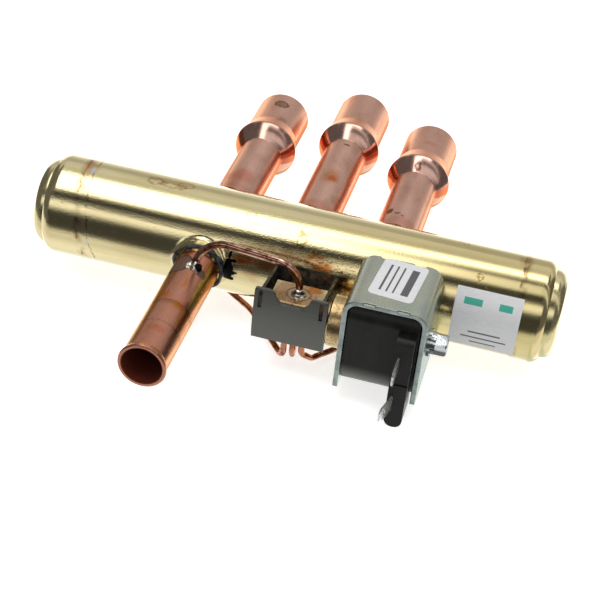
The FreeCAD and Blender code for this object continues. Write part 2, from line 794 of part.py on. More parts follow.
def fixed_core():
    bar = rod(core_left_x, core_right_x, tube_inner_r, pilot_y, pilot_z)
    screw_end = frame_right_x + washer_thick + lock_washer_thick - screw_shank - screw_tip_gap
    return bar.cut(rod(screw_end, core_right_x + 1, screw_shank_r, pilot_y, pilot_z))


def return_spring():
    start = plunger_left_x + plunger_length - spring_pocket + spring_wire_r + spring_end_gap
    end = core_left_x - spring_wire_r - spring_end_gap
    length = end - start
    helix = Part.makeHelix(length / spring_turns, length, spring_coil_r)
    corners = []
    for i in range(spring_wire_sides + 1):
        angle = 2 * math.pi * i / spring_wire_sides
        rise = spring_wire_r * math.sin(angle)
        corners.append(point(spring_coil_r + spring_wire_r * math.cos(angle), 0, rise))
    ring = Part.makePolygon(corners)
    wire = Part.Wire(helix).makePipeShell([ring], True, True)
    wire.rotate(point(0, 0, 0), Y, 90)
    wire.translate(point(start, pilot_y, pilot_z))
    return wire


def enclosing_tube():
    return tube(pilot_neck_right_x, core_right_x, tube_outer_r, tube_inner_r, pilot_y, pilot_z)


# Pilot bracket: a folded steel saddle brazed to the body, with two cheeks
def pilot_bracket():
    rise = math.asin(bracket_half_height / body_outer_r)
    outer_r = body_outer_r + bracket_sheet
    x0 = bracket_centre_x - cheek_offset - bracket_sheet / 2
    x1 = bracket_centre_x + cheek_offset + bracket_sheet / 2

    def on_saddle(r, angle):
        return point(x0, -r * math.cos(angle), r * math.sin(angle))

    saddle = outline(on_saddle(body_outer_r, -rise), [
        (on_saddle(body_outer_r, 0), on_saddle(body_outer_r, rise)),
        on_saddle(outer_r, rise),
        (on_saddle(outer_r, 0), on_saddle(outer_r, -rise)),
    ])
    shape = saddle.extrude(X * (x1 - x0))
    back_y = -outer_r * math.cos(rise) - cheek_overlap
    front_y = clamp_front_y + clamp_thick
    top_z = clamp_high_z - slot_top_inset - slot_fit
    for side in (-1, 1):
        x = bracket_centre_x + side * cheek_offset - bracket_sheet / 2
        low_back = point(x, back_y, -bracket_half_height)
        cheek = outline(low_back, [
            point(x, front_y, clamp_low_z + cheek_low_rise),
            point(x, front_y, top_z),
            point(x, back_y, bracket_half_height),
        ])
        cheek = cheek.extrude(X * bracket_sheet)
        fill = block(x, x + bracket_sheet, back_y - 0.1, -body_outer_r * math.cos(rise),
                     -bracket_half_height, bracket_half_height).cut(rod(x0 - 1, x1 + 1, body_outer_r))
        tab_low = top_z - slot_height + 2 * slot_fit
        tab = block(x, x + bracket_sheet, clamp_front_y - tab_stand_out, front_y + 0.1, tab_low, top_z)
        shape = shape.fuse([cheek, fill, tab])
    shape = shape.removeSplitter()
    reach = pilot_neck_r + tube_fit
    slot_x = bracket_centre_x + cheek_offset - bracket_sheet
    open_slot = rod(slot_x, slot_x + 2 * bracket_sheet, reach, pilot_y, pilot_z)
    mouth = block(slot_x, slot_x + 2 * bracket_sheet, front_y, pilot_y, pilot_z - reach, pilot_z + reach)
    return shape.cut([open_slot, mouth, rod(x0 - 1, x1 + 1, body_outer_r)])


# Clamp plate: a gently bowed steel plate with a notch over the capillary, hooked on the cheeks
def clamp_plate():
    x0 = bracket_centre_x - clamp_half_length
    middle_z = (clamp_low_z + clamp_high_z) / 2
    back = clamp_front_y + clamp_thick
    face = outline(point(x0, clamp_front_y, clamp_low_z), [
        (point(x0, clamp_front_y - clamp_bow, middle_z), point(x0, clamp_front_y, clamp_high_z)),
        point(x0, back, clamp_high_z),
        point(x0, back, clamp_low_z),
    ])
    plate = face.extrude(X * 2 * clamp_half_length)
    notch_x = pilot_port_x - notch_aside
    front = clamp_front_y - clamp_bow - 1
    low = clamp_high_z - notch_depth
    cutter = block(notch_x - notch_half_width, notch_x + notch_half_width, front, back + 1, low,
                   clamp_high_z + notch_depth)
    rounds = edges_where(cutter, lambda c, e: runs_along(e, Y) and c.z < low + 0.1)
    plate = plate.cut(cutter.makeFillet(notch_round, rounds))
    lips = edges_where(plate, lambda c, e: runs_along(e, Y) and c.z > clamp_high_z - 0.1
                       and abs(c.x - notch_x) < notch_half_width + 1)
    plate = plate.makeFillet(notch_lip_round, lips)
    corners = edges_where(plate, lambda c, e: runs_along(e, Y) and c.z > clamp_high_z - 0.1)
    plate = plate.makeFillet(clamp_corner_round, corners)
    for side in (-1, 1):
        x = bracket_centre_x + side * cheek_offset
        half = bracket_sheet / 2 + slot_fit
        top_z = clamp_high_z - slot_top_inset
        plate = plate.cut(block(x - half, x + half, front, back + 1, top_z - slot_height, top_z))
    return plate


# Capillary tubes: thin copper tubes from the pilot valve to the body's chambers, modelled solid
def discharge_capillary():
    start, first = discharge_tap()
    end = point(pilot_port_x, pilot_y, pilot_flat_top_z - capillary_insert)
    port = point(pilot_port_x, pilot_y, pilot_flat_top_z)
    points = [start, first, port + point(*arch_over_port), port + Z * arch_drop, end]
    return bent_rod(points, arch_radii, discharge_capillary_r)


def suction_capillary():
    start = point(pilot_port_x, pilot_y, pilot_flat_low_z + capillary_insert)
    tap = suction_tap()
    points = [start, point(pilot_port_x, pilot_y, under_z), point(*suction_run, under_z),
              tap - Z * suction_drop, tap + Z * suction_tap_depth]
    return bent_rod(points, suction_radii, capillary_r)


def end_capillary(side):
    """From an outer pilot port, under the body and along its lower rear to one end."""
    port_x = pilot_port_places()[0 if side < 0 else 2]
    start = point(port_x, pilot_y, pilot_flat_low_z + capillary_insert)
    out = point(0, 1, -1).normalize()
    if side < 0:
        loop = [point(port_x, pilot_y, under_z)]
        run, radii, bend_x = left_run, left_radii, -left_bend_x
    else:
        loop = [point(port_x, pilot_y, pilot_flat_low_z - right_port_drop)]
        run, radii, bend_x = right_run, right_radii, right_bend_x
    loop = loop + [point(x, y, under_z) for x, y in run]
    entry = point(side * chamber_x, 0, 0) + out * (bore_r - chamber_run)
    turn = point(side * chamber_x, 0, 0) + out * side_r
    bend = point(bend_x, 0, 0) + out * side_r
    return bent_rod([start] + loop + [bend, turn, entry], radii, capillary_r)


# Coil frame: one strip of zinc-plated steel folded over the coil, with crimp marks on its top
def coil_frame():
    outer = block(frame_left_x, frame_right_x, frame_front_y, frame_back_y, frame_low_z, frame_high_z)
    tops = edges_where(outer, lambda c, e: runs_along(e, Y) and c.z > frame_high_z - 0.1)
    outer = outer.makeFillet(frame_bend_r, tops)
    inner = block(frame_left_x + frame_sheet, frame_right_x - frame_sheet, frame_front_y - 1,
                  frame_back_y + 1, frame_low_z - 1, frame_high_z - frame_sheet)
    inner_tops = edges_where(inner, lambda c, e: runs_along(e, Y) and c.z > frame_high_z - frame_sheet - 0.1)
    shape = outer.cut(inner.makeFillet(frame_bend_r - frame_sheet, inner_tops))
    middle = (frame_left_x + frame_right_x) / 2
    for side in (-1, 1):
        x = middle + side * crimp_half_span
        for y in (frame_front_y, frame_back_y):
            mark = block(x - crimp_width / 2, x + crimp_width / 2, y - crimp_depth, y + crimp_depth,
                         frame_high_z - crimp_sunk, frame_high_z + 1)
            shape = shape.cut(mark)
    shape = shape.cut(rod(frame_left_x - 1, middle, tube_outer_r + stem_fit, pilot_y, pilot_z))
    return shape.cut(rod(middle, frame_right_x + 1, screw_shank_r + stem_fit, pilot_y, pilot_z))


# Coil: a black moulding round the winding, with a terminal ridge down its front
def coil():
    x0 = frame_left_x + frame_sheet + coil_gap
    x1 = frame_right_x - frame_sheet - coil_gap
    front = frame_front_y + coil_front_inset
    shape = block(x0, x1, front, frame_back_y - coil_front_inset,
                  frame_low_z + coil_low_inset, frame_high_z - frame_sheet - coil_gap)
    shape = shape.makeFillet(coil_round, edges_where(shape, lambda c, e: runs_along(e, X)))
    shape = shape.common(block_under_folds(x0, x1, front))
    ridge_x1 = x1 - ridge_right_inset
    ridge_x0 = ridge_x1 - ridge_width
    top_z = frame_high_z - frame_sheet - coil_gap - coil_round
    ridge = block(ridge_x0, ridge_x1, ridge_front_y, front + coil_round, ridge_low_z, top_z)
    ends = edges_where(ridge, lambda c, e: runs_along(e, Y) and c.z < ridge_low_z + 0.1)
    ridge = ridge.makeFillet(ridge_end_round, ends)
    tip = edges_where(ridge, lambda c, e: runs_along(e, X) and c.z > top_z - 0.1 and c.y < front)
    ridge = ridge.makeFillet(ridge_tip_round, tip)
    lower = block(ridge_x0 - 1, ridge_x1 + 1, ridge_front_y - 1, ridge_front_y + ridge_seam_step,
                  ridge_seam_z, top_z + 1)
    shape = shape.fuse(ridge.cut(lower)).removeSplitter()
    shape = shape.cut(rod(x0 - 1, x1 + 1, tube_outer_r + stem_fit, pilot_y, pilot_z))
    for top, turn in ((upper_blade_top_z, 0.0), (lower_blade_top_z, lower_blade_turn)):
        shape = shape.cut(blade(top, turn))
    return shape.cut([coil_winding()] + winding_leads().Solids)


def coil_winding():
    """The copper winding, as one ring inside the moulding."""
    x0 = frame_left_x + frame_sheet + coil_gap + winding_inset
    x1 = frame_right_x - frame_sheet - coil_gap - winding_inset
    return tube(x0, x1, winding_outer_r, winding_inner_r, pilot_y, pilot_z)


def winding_leads():
    """Two short leads inside the moulding, from the winding to the two spade tabs."""
    x = frame_right_x - frame_sheet - coil_gap - ridge_right_inset - ridge_width + blade_left_inset
    x = x + blade_thick / 2
    y = ridge_front_y + ridge_seam_step + blade_root
    high = upper_blade_top_z - blade_width / 2
    reach = pilot_y - math.sqrt(winding_outer_r ** 2 - (high - pilot_z) ** 2)
    upper = post(y, reach, lead_r, x, high)
    low = lower_blade_top_z + lower_lead_rise
    reach = pilot_y - math.sqrt(winding_outer_r ** 2 - (low - pilot_z) ** 2)
    root = point(x - lower_lead_aside, y - lead_overlap, lower_blade_top_z)
    bend = root + Z * lower_lead_rise
    lower = bent_rod([root, bend, point(root.x, reach, low)], [lead_bend_r], lead_r)
    parts = []
    for lead in (upper, lower):
        parts.append(lead.cut([coil_winding(), blade(upper_blade_top_z, 0.0),
                               blade(lower_blade_top_z, lower_blade_turn)]))
    return Part.makeCompound([piece.Solids[0] for piece in parts])


def block_under_folds(x0, x1, front):
    """The room under the two folds of the coil frame."""
    top_z = frame_high_z - frame_sheet - coil_gap
    room = block(x0, x1, front - 1, frame_back_y, frame_low_z - 1, top_z)
    tops = edges_where(room, lambda c, e: runs_along(e, Y) and c.z > top_z - 0.1)
    return room.makeFillet(frame_bend_r - frame_sheet, tops)


def blade(top_z, turn):
    """One flat spade tab, standing out of the ridge to the front."""
    x = frame_right_x - frame_sheet - coil_gap - ridge_right_inset - ridge_width + blade_left_inset
    root_y = ridge_front_y + ridge_seam_step
    strip = block(x, x + blade_thick, root_y - blade_length, root_y + blade_root, top_z - blade_width, top_z)
    tips = edges_where(strip, lambda c, e: runs_along(e, X) and c.y < root_y - blade_length + 0.1)
    strip = strip.makeChamfer(blade_chamfer, tips)
    hole_y = root_y - blade_hole_reach
    strip = strip.cut(rod(x - 1, x + 2, blade_hole_r, hole_y, top_z - blade_width / 2))
    if turn:
        strip.rotate(point(x + blade_thick / 2, root_y, 0), Z, -turn)
    return strip


def coil_screw():
    """A hexagon-headed screw that holds the coil on the fixed core."""
    under = frame_right_x + washer_thick + lock_washer_thick
    corner_r = screw_flats / math.sqrt(3)
    corners = []
    for i in range(7):
        angle = math.radians(60 * i + screw_head_turn)
        y = pilot_y + corner_r * math.cos(angle)
        corners.append(point(under, y, pilot_z + corner_r * math.sin(angle)))
    head = Part.Face(Part.makePolygon(corners)).extrude(X * screw_head)
    bevel = Part.makeCone(corner_r + screw_head - screw_head_chamfer, corner_r - screw_head_chamfer,
                          screw_head, point(under, pilot_y, pilot_z), X)
    head = head.common(bevel)
    shank = rod(under - screw_shank, under, screw_shank_r, pilot_y, pilot_z)
    return head.fuse(shank).removeSplitter()


def screw_washer():
    x0 = frame_right_x
    return tube(x0, x0 + washer_thick, washer_r, screw_shank_r + stem_fit, pilot_y, pilot_z)


def lock_washer():
    x0 = frame_right_x + washer_thick
    ring = tube(x0, x0 + lock_washer_thick, lock_washer_r, screw_shank_r + stem_fit, pilot_y, pilot_z)
    gap = block(x0 - 1, x0 + lock_washer_thick + 1, pilot_y - lock_washer_r - 1, pilot_y,
                pilot_z - lock_washer_gap / 2, pilot_z + lock_washer_gap / 2)
    return ring.cut(gap)


# Labels: plain foil, stuck on the top of the coil frame and on the front of the body
def coil_label():
    wide, deep = coil_label_size
    x = frame_left_x + coil_label_inset[0]
    y = frame_back_y - coil_label_inset[1]
    plate = block(-wide / 2, wide / 2, -deep / 2, deep / 2, 0, label_thick)
    plate = plate.makeFillet(coil_label_round, edges_where(plate, lambda c, e: runs_along(e, Z)))
    plate.rotate(point(0, 0, 0), Z, coil_label_turn)
    plate.translate(point(x, y, frame_high_z))
    return plate


def body_label():
    low, high = [math.radians(a) for a in body_label_angles]
    x1 = shoulder_x - body_label_inset
    x0 = x1 - body_label_width
    outer_r = body_outer_r + label_thick

    def at(r, angle):
        return point(x0, -r * math.cos(angle), r * math.sin(angle))

    middle = (low + high) / 2
    face = outline(at(body_outer_r, low), [
        (at(body_outer_r, middle), at(body_outer_r, high)),
        at(outer_r, high),
        (at(outer_r, middle), at(outer_r, low)),
    ])
    return face.extrude(X * (x1 - x0))


def build():
    nodes["body_tube"] = body_tube()
    nodes["left_end_cap"] = end_cap(-1)
    nodes["right_end_cap"] = end_cap(1)
    nodes["valve_seat"] = valve_seat()
    nodes["left_stub"] = rear_stub(-port_pitch, outer_bead_y, outer_stub_reach)
    nodes["suction_stub"] = rear_stub(0.0, suction_bead_y, suction_stub_reach)
    nodes["right_stub"] = rear_stub(port_pitch, outer_bead_y, outer_stub_reach)
    nodes["discharge_tube"] = discharge_tube()
    nodes["braze_fillets"] = braze_fillets()

    moving = {
        "main_slide": main_slide(),
        "piston_bridge": piston_bridge(),
        "bridge_screws": bridge_screws(),
        "piston_rivets": piston_rivets(),
    }
    for side, name in ((-1, "left"), (1, "right")):
        moving[name + "_piston"] = piston(side)
        moving[name + "_piston_cup"] = piston_cup(side)
        moving[name + "_cup_spring"] = cup_spring(side)
        moving[name + "_retainer"] = retainer(side)
    for name, shape in moving.items():
        shape.translate(X * rest_shift)
        nodes[name] = shape

    nodes["pilot_bracket"] = pilot_bracket()
    nodes["clamp_plate"] = clamp_plate()
    nodes["pilot_body"] = pilot_body()
    nodes["pilot_seat"] = pilot_seat()
    nodes["pilot_slide"] = pilot_slide()
    nodes["pilot_carrier"] = pilot_carrier()
    nodes["slide_leaf"] = slide_leaf()
    nodes["plunger"] = plunger()
    nodes["fixed_core"] = fixed_core()
    nodes["return_spring"] = return_spring()
    nodes["enclosing_tube"] = enclosing_tube()

    nodes["discharge_capillary"] = discharge_capillary()
    nodes["suction_capillary"] = suction_capillary()
    nodes["left_capillary"] = end_capillary(-1)
    nodes["right_capillary"] = end_capillary(1)

    nodes["coil_frame"] = coil_frame()
    nodes["coil"] = coil()
    nodes["coil_winding"] = coil_winding()
    nodes["winding_leads"] = winding_leads()
    nodes["upper_terminal"] = blade(upper_blade_top_z, 0.0)
    nodes["lower_terminal"] = blade(lower_blade_top_z, lower_blade_turn)
    nodes["coil_screw"] = coil_screw()
    nodes["screw_washer"] = screw_washer()
    nodes["lock_washer"] = lock_washer()
    nodes["coil_label"] = coil_label()
    nodes["body_label"] = body_label()


build()
os.makedirs("parts", exist_ok=True)
for name, shape in nodes.items():
    shape.translate(Y * -suction_stub_reach)
    shape.exportStep(os.path.join("parts", name + ".step"))
    print(name, len(shape.Solids), shape.isValid(), round(shape.Volume, 1))
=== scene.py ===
import math

import bmesh
import bpy
from mathutils import Matrix, Vector, noise


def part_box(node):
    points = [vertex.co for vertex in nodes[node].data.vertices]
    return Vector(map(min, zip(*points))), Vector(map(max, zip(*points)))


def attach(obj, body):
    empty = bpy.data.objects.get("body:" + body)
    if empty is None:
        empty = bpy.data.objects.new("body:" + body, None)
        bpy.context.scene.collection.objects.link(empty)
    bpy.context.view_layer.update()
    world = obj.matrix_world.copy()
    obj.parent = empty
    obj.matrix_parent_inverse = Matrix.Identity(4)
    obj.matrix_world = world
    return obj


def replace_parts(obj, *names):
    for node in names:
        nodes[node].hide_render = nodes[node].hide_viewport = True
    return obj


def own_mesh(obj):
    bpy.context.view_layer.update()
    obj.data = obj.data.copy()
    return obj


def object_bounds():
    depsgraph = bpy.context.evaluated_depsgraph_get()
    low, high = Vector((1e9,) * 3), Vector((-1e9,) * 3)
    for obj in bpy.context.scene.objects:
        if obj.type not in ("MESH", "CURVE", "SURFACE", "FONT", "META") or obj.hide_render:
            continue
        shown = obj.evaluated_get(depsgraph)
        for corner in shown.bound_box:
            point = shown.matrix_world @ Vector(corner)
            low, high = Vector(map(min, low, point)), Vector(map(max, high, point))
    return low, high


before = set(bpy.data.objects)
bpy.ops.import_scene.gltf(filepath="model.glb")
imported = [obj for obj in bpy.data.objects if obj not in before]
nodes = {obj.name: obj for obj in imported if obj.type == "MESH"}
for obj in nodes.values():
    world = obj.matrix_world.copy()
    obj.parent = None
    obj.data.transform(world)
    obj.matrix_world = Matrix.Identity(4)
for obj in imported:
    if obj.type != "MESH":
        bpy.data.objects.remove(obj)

cad_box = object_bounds()

# Places on the valve: all are given in millimetres from the middle of its body.
# The body's axis runs along X, and that middle lies halfway between the outer faces of the two end caps.
mm = 0.001
middle = (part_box("left_end_cap")[0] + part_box("right_end_cap")[1]) / 2


def place(x, y, z):
    return middle + Vector((x, y, z)) * mm


# Camera: a long lens, looking down on the valve from in front and a little to its right,
# with the picture turned clockwise by a few degrees.
view_azimuth = math.radians(10.76)
view_elevation = math.radians(35.77)
view_roll = math.radians(6.71)
view_distance = 0.6554
frame_pixels = 600
lens_pixels = 1601.0
middle_pixel = (297.5, 255.5)
sensor_width = 36.0
back = Vector((math.sin(view_azimuth) * math.cos(view_elevation),
               -math.cos(view_azimuth) * math.cos(view_elevation), math.sin(view_elevation)))
level_right = Vector((math.cos(view_azimuth), math.sin(view_azimuth), 0))
level_up = back.cross(level_right)
view_right = level_right * math.cos(view_roll) + level_up * math.sin(view_roll)
view_up = level_up * math.cos(view_roll) - level_right * math.sin(view_roll)
aside = (middle_pixel[0] - frame_pixels / 2) / lens_pixels * view_distance
above = (frame_pixels / 2 - middle_pixel[1]) / lens_pixels * view_distance
camera_data = bpy.data.cameras.new("camera")
camera_data.sensor_width = sensor_width
camera_data.lens = lens_pixels / frame_pixels * sensor_width
camera = bpy.data.objects.new("camera", camera_data)
camera_place = middle + back * view_distance - view_right * aside - view_up * above
turn = Matrix((view_right, view_up, back)).transposed().to_4x4()
camera.matrix_world = Matrix.Translation(camera_place) @ turn
bpy.context.scene.collection.objects.link(camera)
bpy.context.scene.camera = camera
bpy.context.scene.view_settings.view_transform = "Standard"


# Studio: a pale sweep under and behind the valve, with dark screens in front of it and beside it.
# Metal shows them as bands; plain surfaces get an even pale light from all round.
def node(tree, kind, inputs=None, **settings):
    """A new node, with its settings and with its inputs set to values or joined to outputs."""
    made = tree.nodes.new("ShaderNode" + kind)
    for name, value in settings.items():
        setattr(made, name, value)
    for key, value in (inputs or {}).items():
        if isinstance(value, bpy.types.NodeSocket):
            tree.links.new(value, made.inputs[key])
        else:
            made.inputs[key].default_value = value
    return made


def calc(tree, operation, first, second=0.0):
    return node(tree, "Math", {0: first, 1: second}, operation=operation).outputs[0]


def plus(tree, first, second):
    return calc(tree, "ADD", first, second)


def less(tree, first, second):
    return calc(tree, "SUBTRACT", first, second)


def times(tree, first, second):
    return calc(tree, "MULTIPLY", first, second)


def most(tree, first, second):
    return calc(tree, "MAXIMUM", first, second)


def split(tree, vector):
    """The X, Y and Z of a vector."""
    return tuple(node(tree, "SeparateXYZ", {0: vector}).outputs)


def fade(tree, value, start, end):
    """0 where the value is at start, 1 where it is at end, smooth between."""
    inputs = {"Value": value, "From Min": start, "From Max": end}
    return node(tree, "MapRange", inputs, interpolation_type="SMOOTHSTEP").outputs[0]


def over(tree, mask, below, colour):
    """The colour laid over what is below it, as thick as the mask."""
    return node(tree, "Mix", {0: mask, 6: below, 7: colour}, data_type="RGBA").outputs[2]


def gray(tone):
    return (tone, tone, tone, 1)


# Each band: its angle in degrees round the valve's length, with 0 in front and 90 overhead, and its light.
bands = [(-180, 1.5), (-168, 2.2), (-150, 2.2), (-136, 1.7), (-118, 1.15), (-106, 0.95), (-80, 1.05),
         (-64, 0.95), (-50, 0.76), (-42, 0.86), (-35, 0.68), (-28, 0.15), (-22, 0.06), (8, 0.05), (14, 0.15),
         (20, 0.75), (27, 1.2), (34, 1.05), (41, 0.25), (46, 0.04), (56, 0.03), (62, 0.5), (67, 2.8),
         (104, 2.8), (109, 1.3), (114, 0.6), (134, 0.72), (148, 0.48), (158, 0.46), (170, 0.75), (180, 1.5)]
# To the right, all bands stand a little higher, and darker bars cross the brightest one.
# Each bar: its middle, its reach and the width of its soft edge, in degrees, and its light.
right_turn = 7
right_bars = ((79, 20, 6, 0.84), (85, 7, 5, 0.08))
even_level = 0.62
screen_tone = 0.13
low_right_tint = (0.74, 0.8, 0.74, 1)
world = bpy.data.worlds.new("studio")
bpy.context.scene.world = world
world.use_nodes = True
tree = world.node_tree
tree.nodes.clear()
ahead_x, ahead_y, ahead_z = split(tree, node(tree, "TexCoord").outputs["Generated"])
to_right = fade(tree, ahead_x, -0.18, -0.02)
angle = calc(tree, "ARCTAN2", ahead_z, times(tree, ahead_y, -1.0))
angle = less(tree, angle, times(tree, to_right, math.radians(right_turn)))
ramp = node(tree, "ValToRGB", {0: plus(tree, calc(tree, "DIVIDE", angle, 2 * math.pi), 0.5)})
stops = ramp.color_ramp.elements
ramp.color_ramp.interpolation = "EASE"
for number, (degrees, light) in enumerate(bands):
    where = degrees / 360 + 0.5
    stop = stops[0] if number == 0 else stops.new(where)
    stop.position = where
    stop.color = gray(light)
stops.remove(stops[len(bands)])
# The screens: one at each end of the valve, a low sill before each of them and a hood above them.
aside_x = calc(tree, "ABSOLUTE", ahead_x)
sides = times(tree, fade(tree, aside_x, 0.62, 0.72), fade(tree, ahead_z, -0.35, -0.2))
sill = times(tree, fade(tree, ahead_z, -0.1, -0.15), fade(tree, ahead_z, -0.34, -0.27))
sill = times(tree, sill, fade(tree, aside_x, 0.46, 0.52))
hood = times(tree, fade(tree, aside_x, 0.34, 0.45), fade(tree, ahead_z, 0.6, 0.7))
screens = most(tree, sides, most(tree, sill, hood))
sweep = over(tree, screens, ramp.outputs[0], gray(screen_tone))
for centre, reach, soft, light in right_bars:
    away = calc(tree, "ABSOLUTE", less(tree, angle, math.radians(centre)))
    bar = times(tree, fade(tree, away, math.radians(reach), math.radians(reach - soft)), to_right)
    sweep = over(tree, bar, sweep, gray(light))
low_right = times(tree, fade(tree, ahead_x, -0.03, 0.01), fade(tree, ahead_x, 0.3, 0.2))
low_right = times(tree, fade(tree, ahead_z, -0.3, -0.42), low_right)
sweep = over(tree, low_right, sweep, low_right_tint)
rays = node(tree, "LightPath").outputs
mirrored = node(tree, "Background", {0: sweep, 1: 1.0}).outputs[0]
even = node(tree, "Background", {0: gray(even_level), 1: 1.0}).outputs[0]
white = node(tree, "Background", {0: gray(1), 1: 1.0}).outputs[0]
on_valve = node(tree, "MixShader", {0: rays["Is Glossy Ray"], 1: even, 2: mirrored}).outputs[0]
all_rays = node(tree, "MixShader", {0: rays["Is Camera Ray"], 1: on_valve, 2: white}).outputs[0]
node(tree, "OutputWorld", {0: all_rays})

# Softbox: one broad square lamp high over the valve, which metal doesn't mirror.
# It gives the soft shadow on the floor.
lamp_size = 0.7
lamp_power = 4.2
lamp_place = middle + Vector((0, -0.1, 1.0))
lamp_data = bpy.data.lights.new("overhead_softbox", "AREA")
lamp_data.shape = "RECTANGLE"
lamp_data.size = lamp_size
lamp_data.size_y = lamp_size
lamp_data.energy = lamp_power
lamp = bpy.data.objects.new("overhead_softbox", lamp_data)
lamp.visible_glossy = False
lamp.matrix_world = Matrix.Translation(lamp_place)
bpy.context.scene.collection.objects.link(lamp)

# Floor: the pale table top, just under the lowest point of the valve.
# The camera sees it white with the valve's soft shadow on it; metal sees the studio's sweep.
floor_size = 6.0
floor_gap = 0.0002
floor_tone = 0.9
floor_glow = 0.66
floor_mesh = bpy.data.meshes.new("floor")
form = bmesh.new()
bmesh.ops.create_grid(form, x_segments=1, y_segments=1, size=floor_size / 2)
bmesh.ops.translate(form, verts=form.verts, vec=(0, middle.y, cad_box[0][2] - floor_gap))
form.to_mesh(floor_mesh)
form.free()
floor = bpy.data.objects.new("floor", floor_mesh)
bpy.context.scene.collection.objects.link(floor)
floor_finish = bpy.data.materials.new("pale_table")
floor_finish.use_nodes = True
tree = floor_finish.node_tree
tree.nodes.clear()
rays = node(tree, "LightPath").outputs
chalk = node(tree, "BsdfDiffuse", {"Color": gray(floor_tone)}).outputs[0]
glow = node(tree, "Emission", {"Color": gray(1), "Strength": floor_glow}).outputs[0]
lit = node(tree, "AddShader", {0: chalk, 1: glow}).outputs[0]
clear = node(tree, "BsdfTransparent").outputs[0]
table = node(tree, "MixShader", {0: rays["Is Camera Ray"], 1: chalk, 2: lit}).outputs[0]
in_metal = node(tree, "MixShader", {0: rays["Is Glossy Ray"], 1: table, 2: clear}).outputs[0]
node(tree, "OutputMaterial", {0: in_metal})
floor_mesh.materials.append(floor_finish)


# Body tube: drawn brass, polished lengthwise, its ends rolled in over the caps.
# Brazing has left brown heat lines near the ends, dried stains along its top, orange tints round
# the pilot bracket and a spiky blot of black flux beside the collar.
def shade(red, green, blue):
    """A colour as seen on a screen, 0 to 255, as the light that it stands for."""
    def light(value):
        part = value / 255
        return part / 12.92 if part <= 0.04045 else ((part + 0.055) / 1.055) ** 2.4
    return (light(red), light(green), light(blue), 1.0)


def start_finish(name, colour, roughness, metallic=0.0):
    """A new material: its tree, its shader and the place of each point on the object."""
    made = bpy.data.materials.new(name)
    made.use_nodes = True
    tree = made.node_tree
    shader = tree.nodes["Principled BSDF"]
    shader.inputs["Base Color"].default_value = colour
    shader.inputs["Roughness"].default_value = roughness
    shader.inputs["Metallic"].default_value = metallic
    return made, tree, shader, node(tree, "TexCoord").outputs["Object"]


def grain(tree, point, size, stretch=(1, 1, 1), detail=3.0, rough=0.55):
    """Noise between 0 and 1 with lumps of about that size in millimetres, drawn out along an axis."""
    scaled = node(tree, "Mapping", {"Vector": point, "Scale": [1 / s for s in stretch]}).outputs[0]
    inputs = {"Vector": scaled, "Scale": 1 / (size * mm), "Detail": detail, "Roughness": rough}
    return node(tree, "TexNoise", inputs).outputs["Fac"]


def two_tone(tree, pattern, start, end, first, second):
    """The first colour where the pattern is at start, the second where it is at end."""
    return over(tree, fade(tree, pattern, start, end), first, second)


def ragged_point(tree, point, size, shift):
    """The same point, shaken by noise, so that a mark measured from it gets a ragged edge."""
    inputs = {"Vector": point, "Scale": 1 / (size * mm), "Detail": 4.0, "Roughness": 0.6}
    colour = node(tree, "TexNoise", inputs).outputs["Color"]
    centred = node(tree, "VectorMath", {0: colour, 1: (0.5, 0.5, 0.5)}, operation="SUBTRACT").outputs[0]
    shifted = node(tree, "VectorMath", {0: centred, "Scale": shift * mm * 2}, operation="SCALE").outputs[0]
    return node(tree, "VectorMath", {0: point, 1: shifted}, operation="ADD").outputs[0]


def mark(tree, point, centre, size, soft):
    """1 inside an ellipsoid round a centre, both in millimetres, fading to 0 over a share of its size."""
    away = node(tree, "VectorMath", {0: point, 1: place(*centre)}, operation="SUBTRACT").outputs[0]
    shares = [1 / (s * mm) for s in size]
    scaled = node(tree, "VectorMath", {0: away, 1: shares}, operation="MULTIPLY").outputs[0]
    length = node(tree, "VectorMath", {0: scaled}, operation="LENGTH").outputs["Value"]
    return fade(tree, length, 1.0, 1.0 - soft)


def lay_marks(tree, point, colour, marks, soft):
    """Marks laid over a colour, each given by its centre, its size, its strength and its own colour."""
    for centre, size, strength, tint in marks:
        colour = over(tree, times(tree, mark(tree, point, centre, size, soft), strength), colour, tint)
    return colour


def dried_edge(tree, point, centre, size, thin):
    """1 on the edge of an ellipsoid, like the rim of a dried drop."""
    inner = [s * (1 - thin) for s in size]
    return times(tree, mark(tree, point, centre, size, thin),
                 less(tree, 1.0, mark(tree, point, centre, inner, thin)))


def raise_surface(tree, shader, height, depth):
    """Bump of that depth in millimetres."""
    bump = node(tree, "Bump", {"Height": height, "Distance": depth * mm, "Strength": 1.0})
    tree.links.new(bump.outputs[0], shader.inputs["Normal"])


def connect(tree, shader, **sockets):
    for name, socket in sockets.items():
        tree.links.new(socket, shader.inputs[name.replace("_", " ")])


def dress(finish, *names):
    """Gives the named pieces one material."""
    for name in names:
        slots = nodes[name].material_slots
        if not slots:
            nodes[name].data.materials.append(finish)
        for slot in slots:
            slot.material = finish


brass_light = (0.84, 0.725, 0.41, 1)
brass_deep = (0.66, 0.53, 0.24, 1)
brass_gold = (0.72, 0.57, 0.23, 1)
brown_heat = shade(118, 74, 30)
dried_brown = shade(158, 116, 46)
orange_heat = shade(198, 122, 54)
black_flux = shade(24, 22, 22)
bare_silver = shade(205, 210, 218)


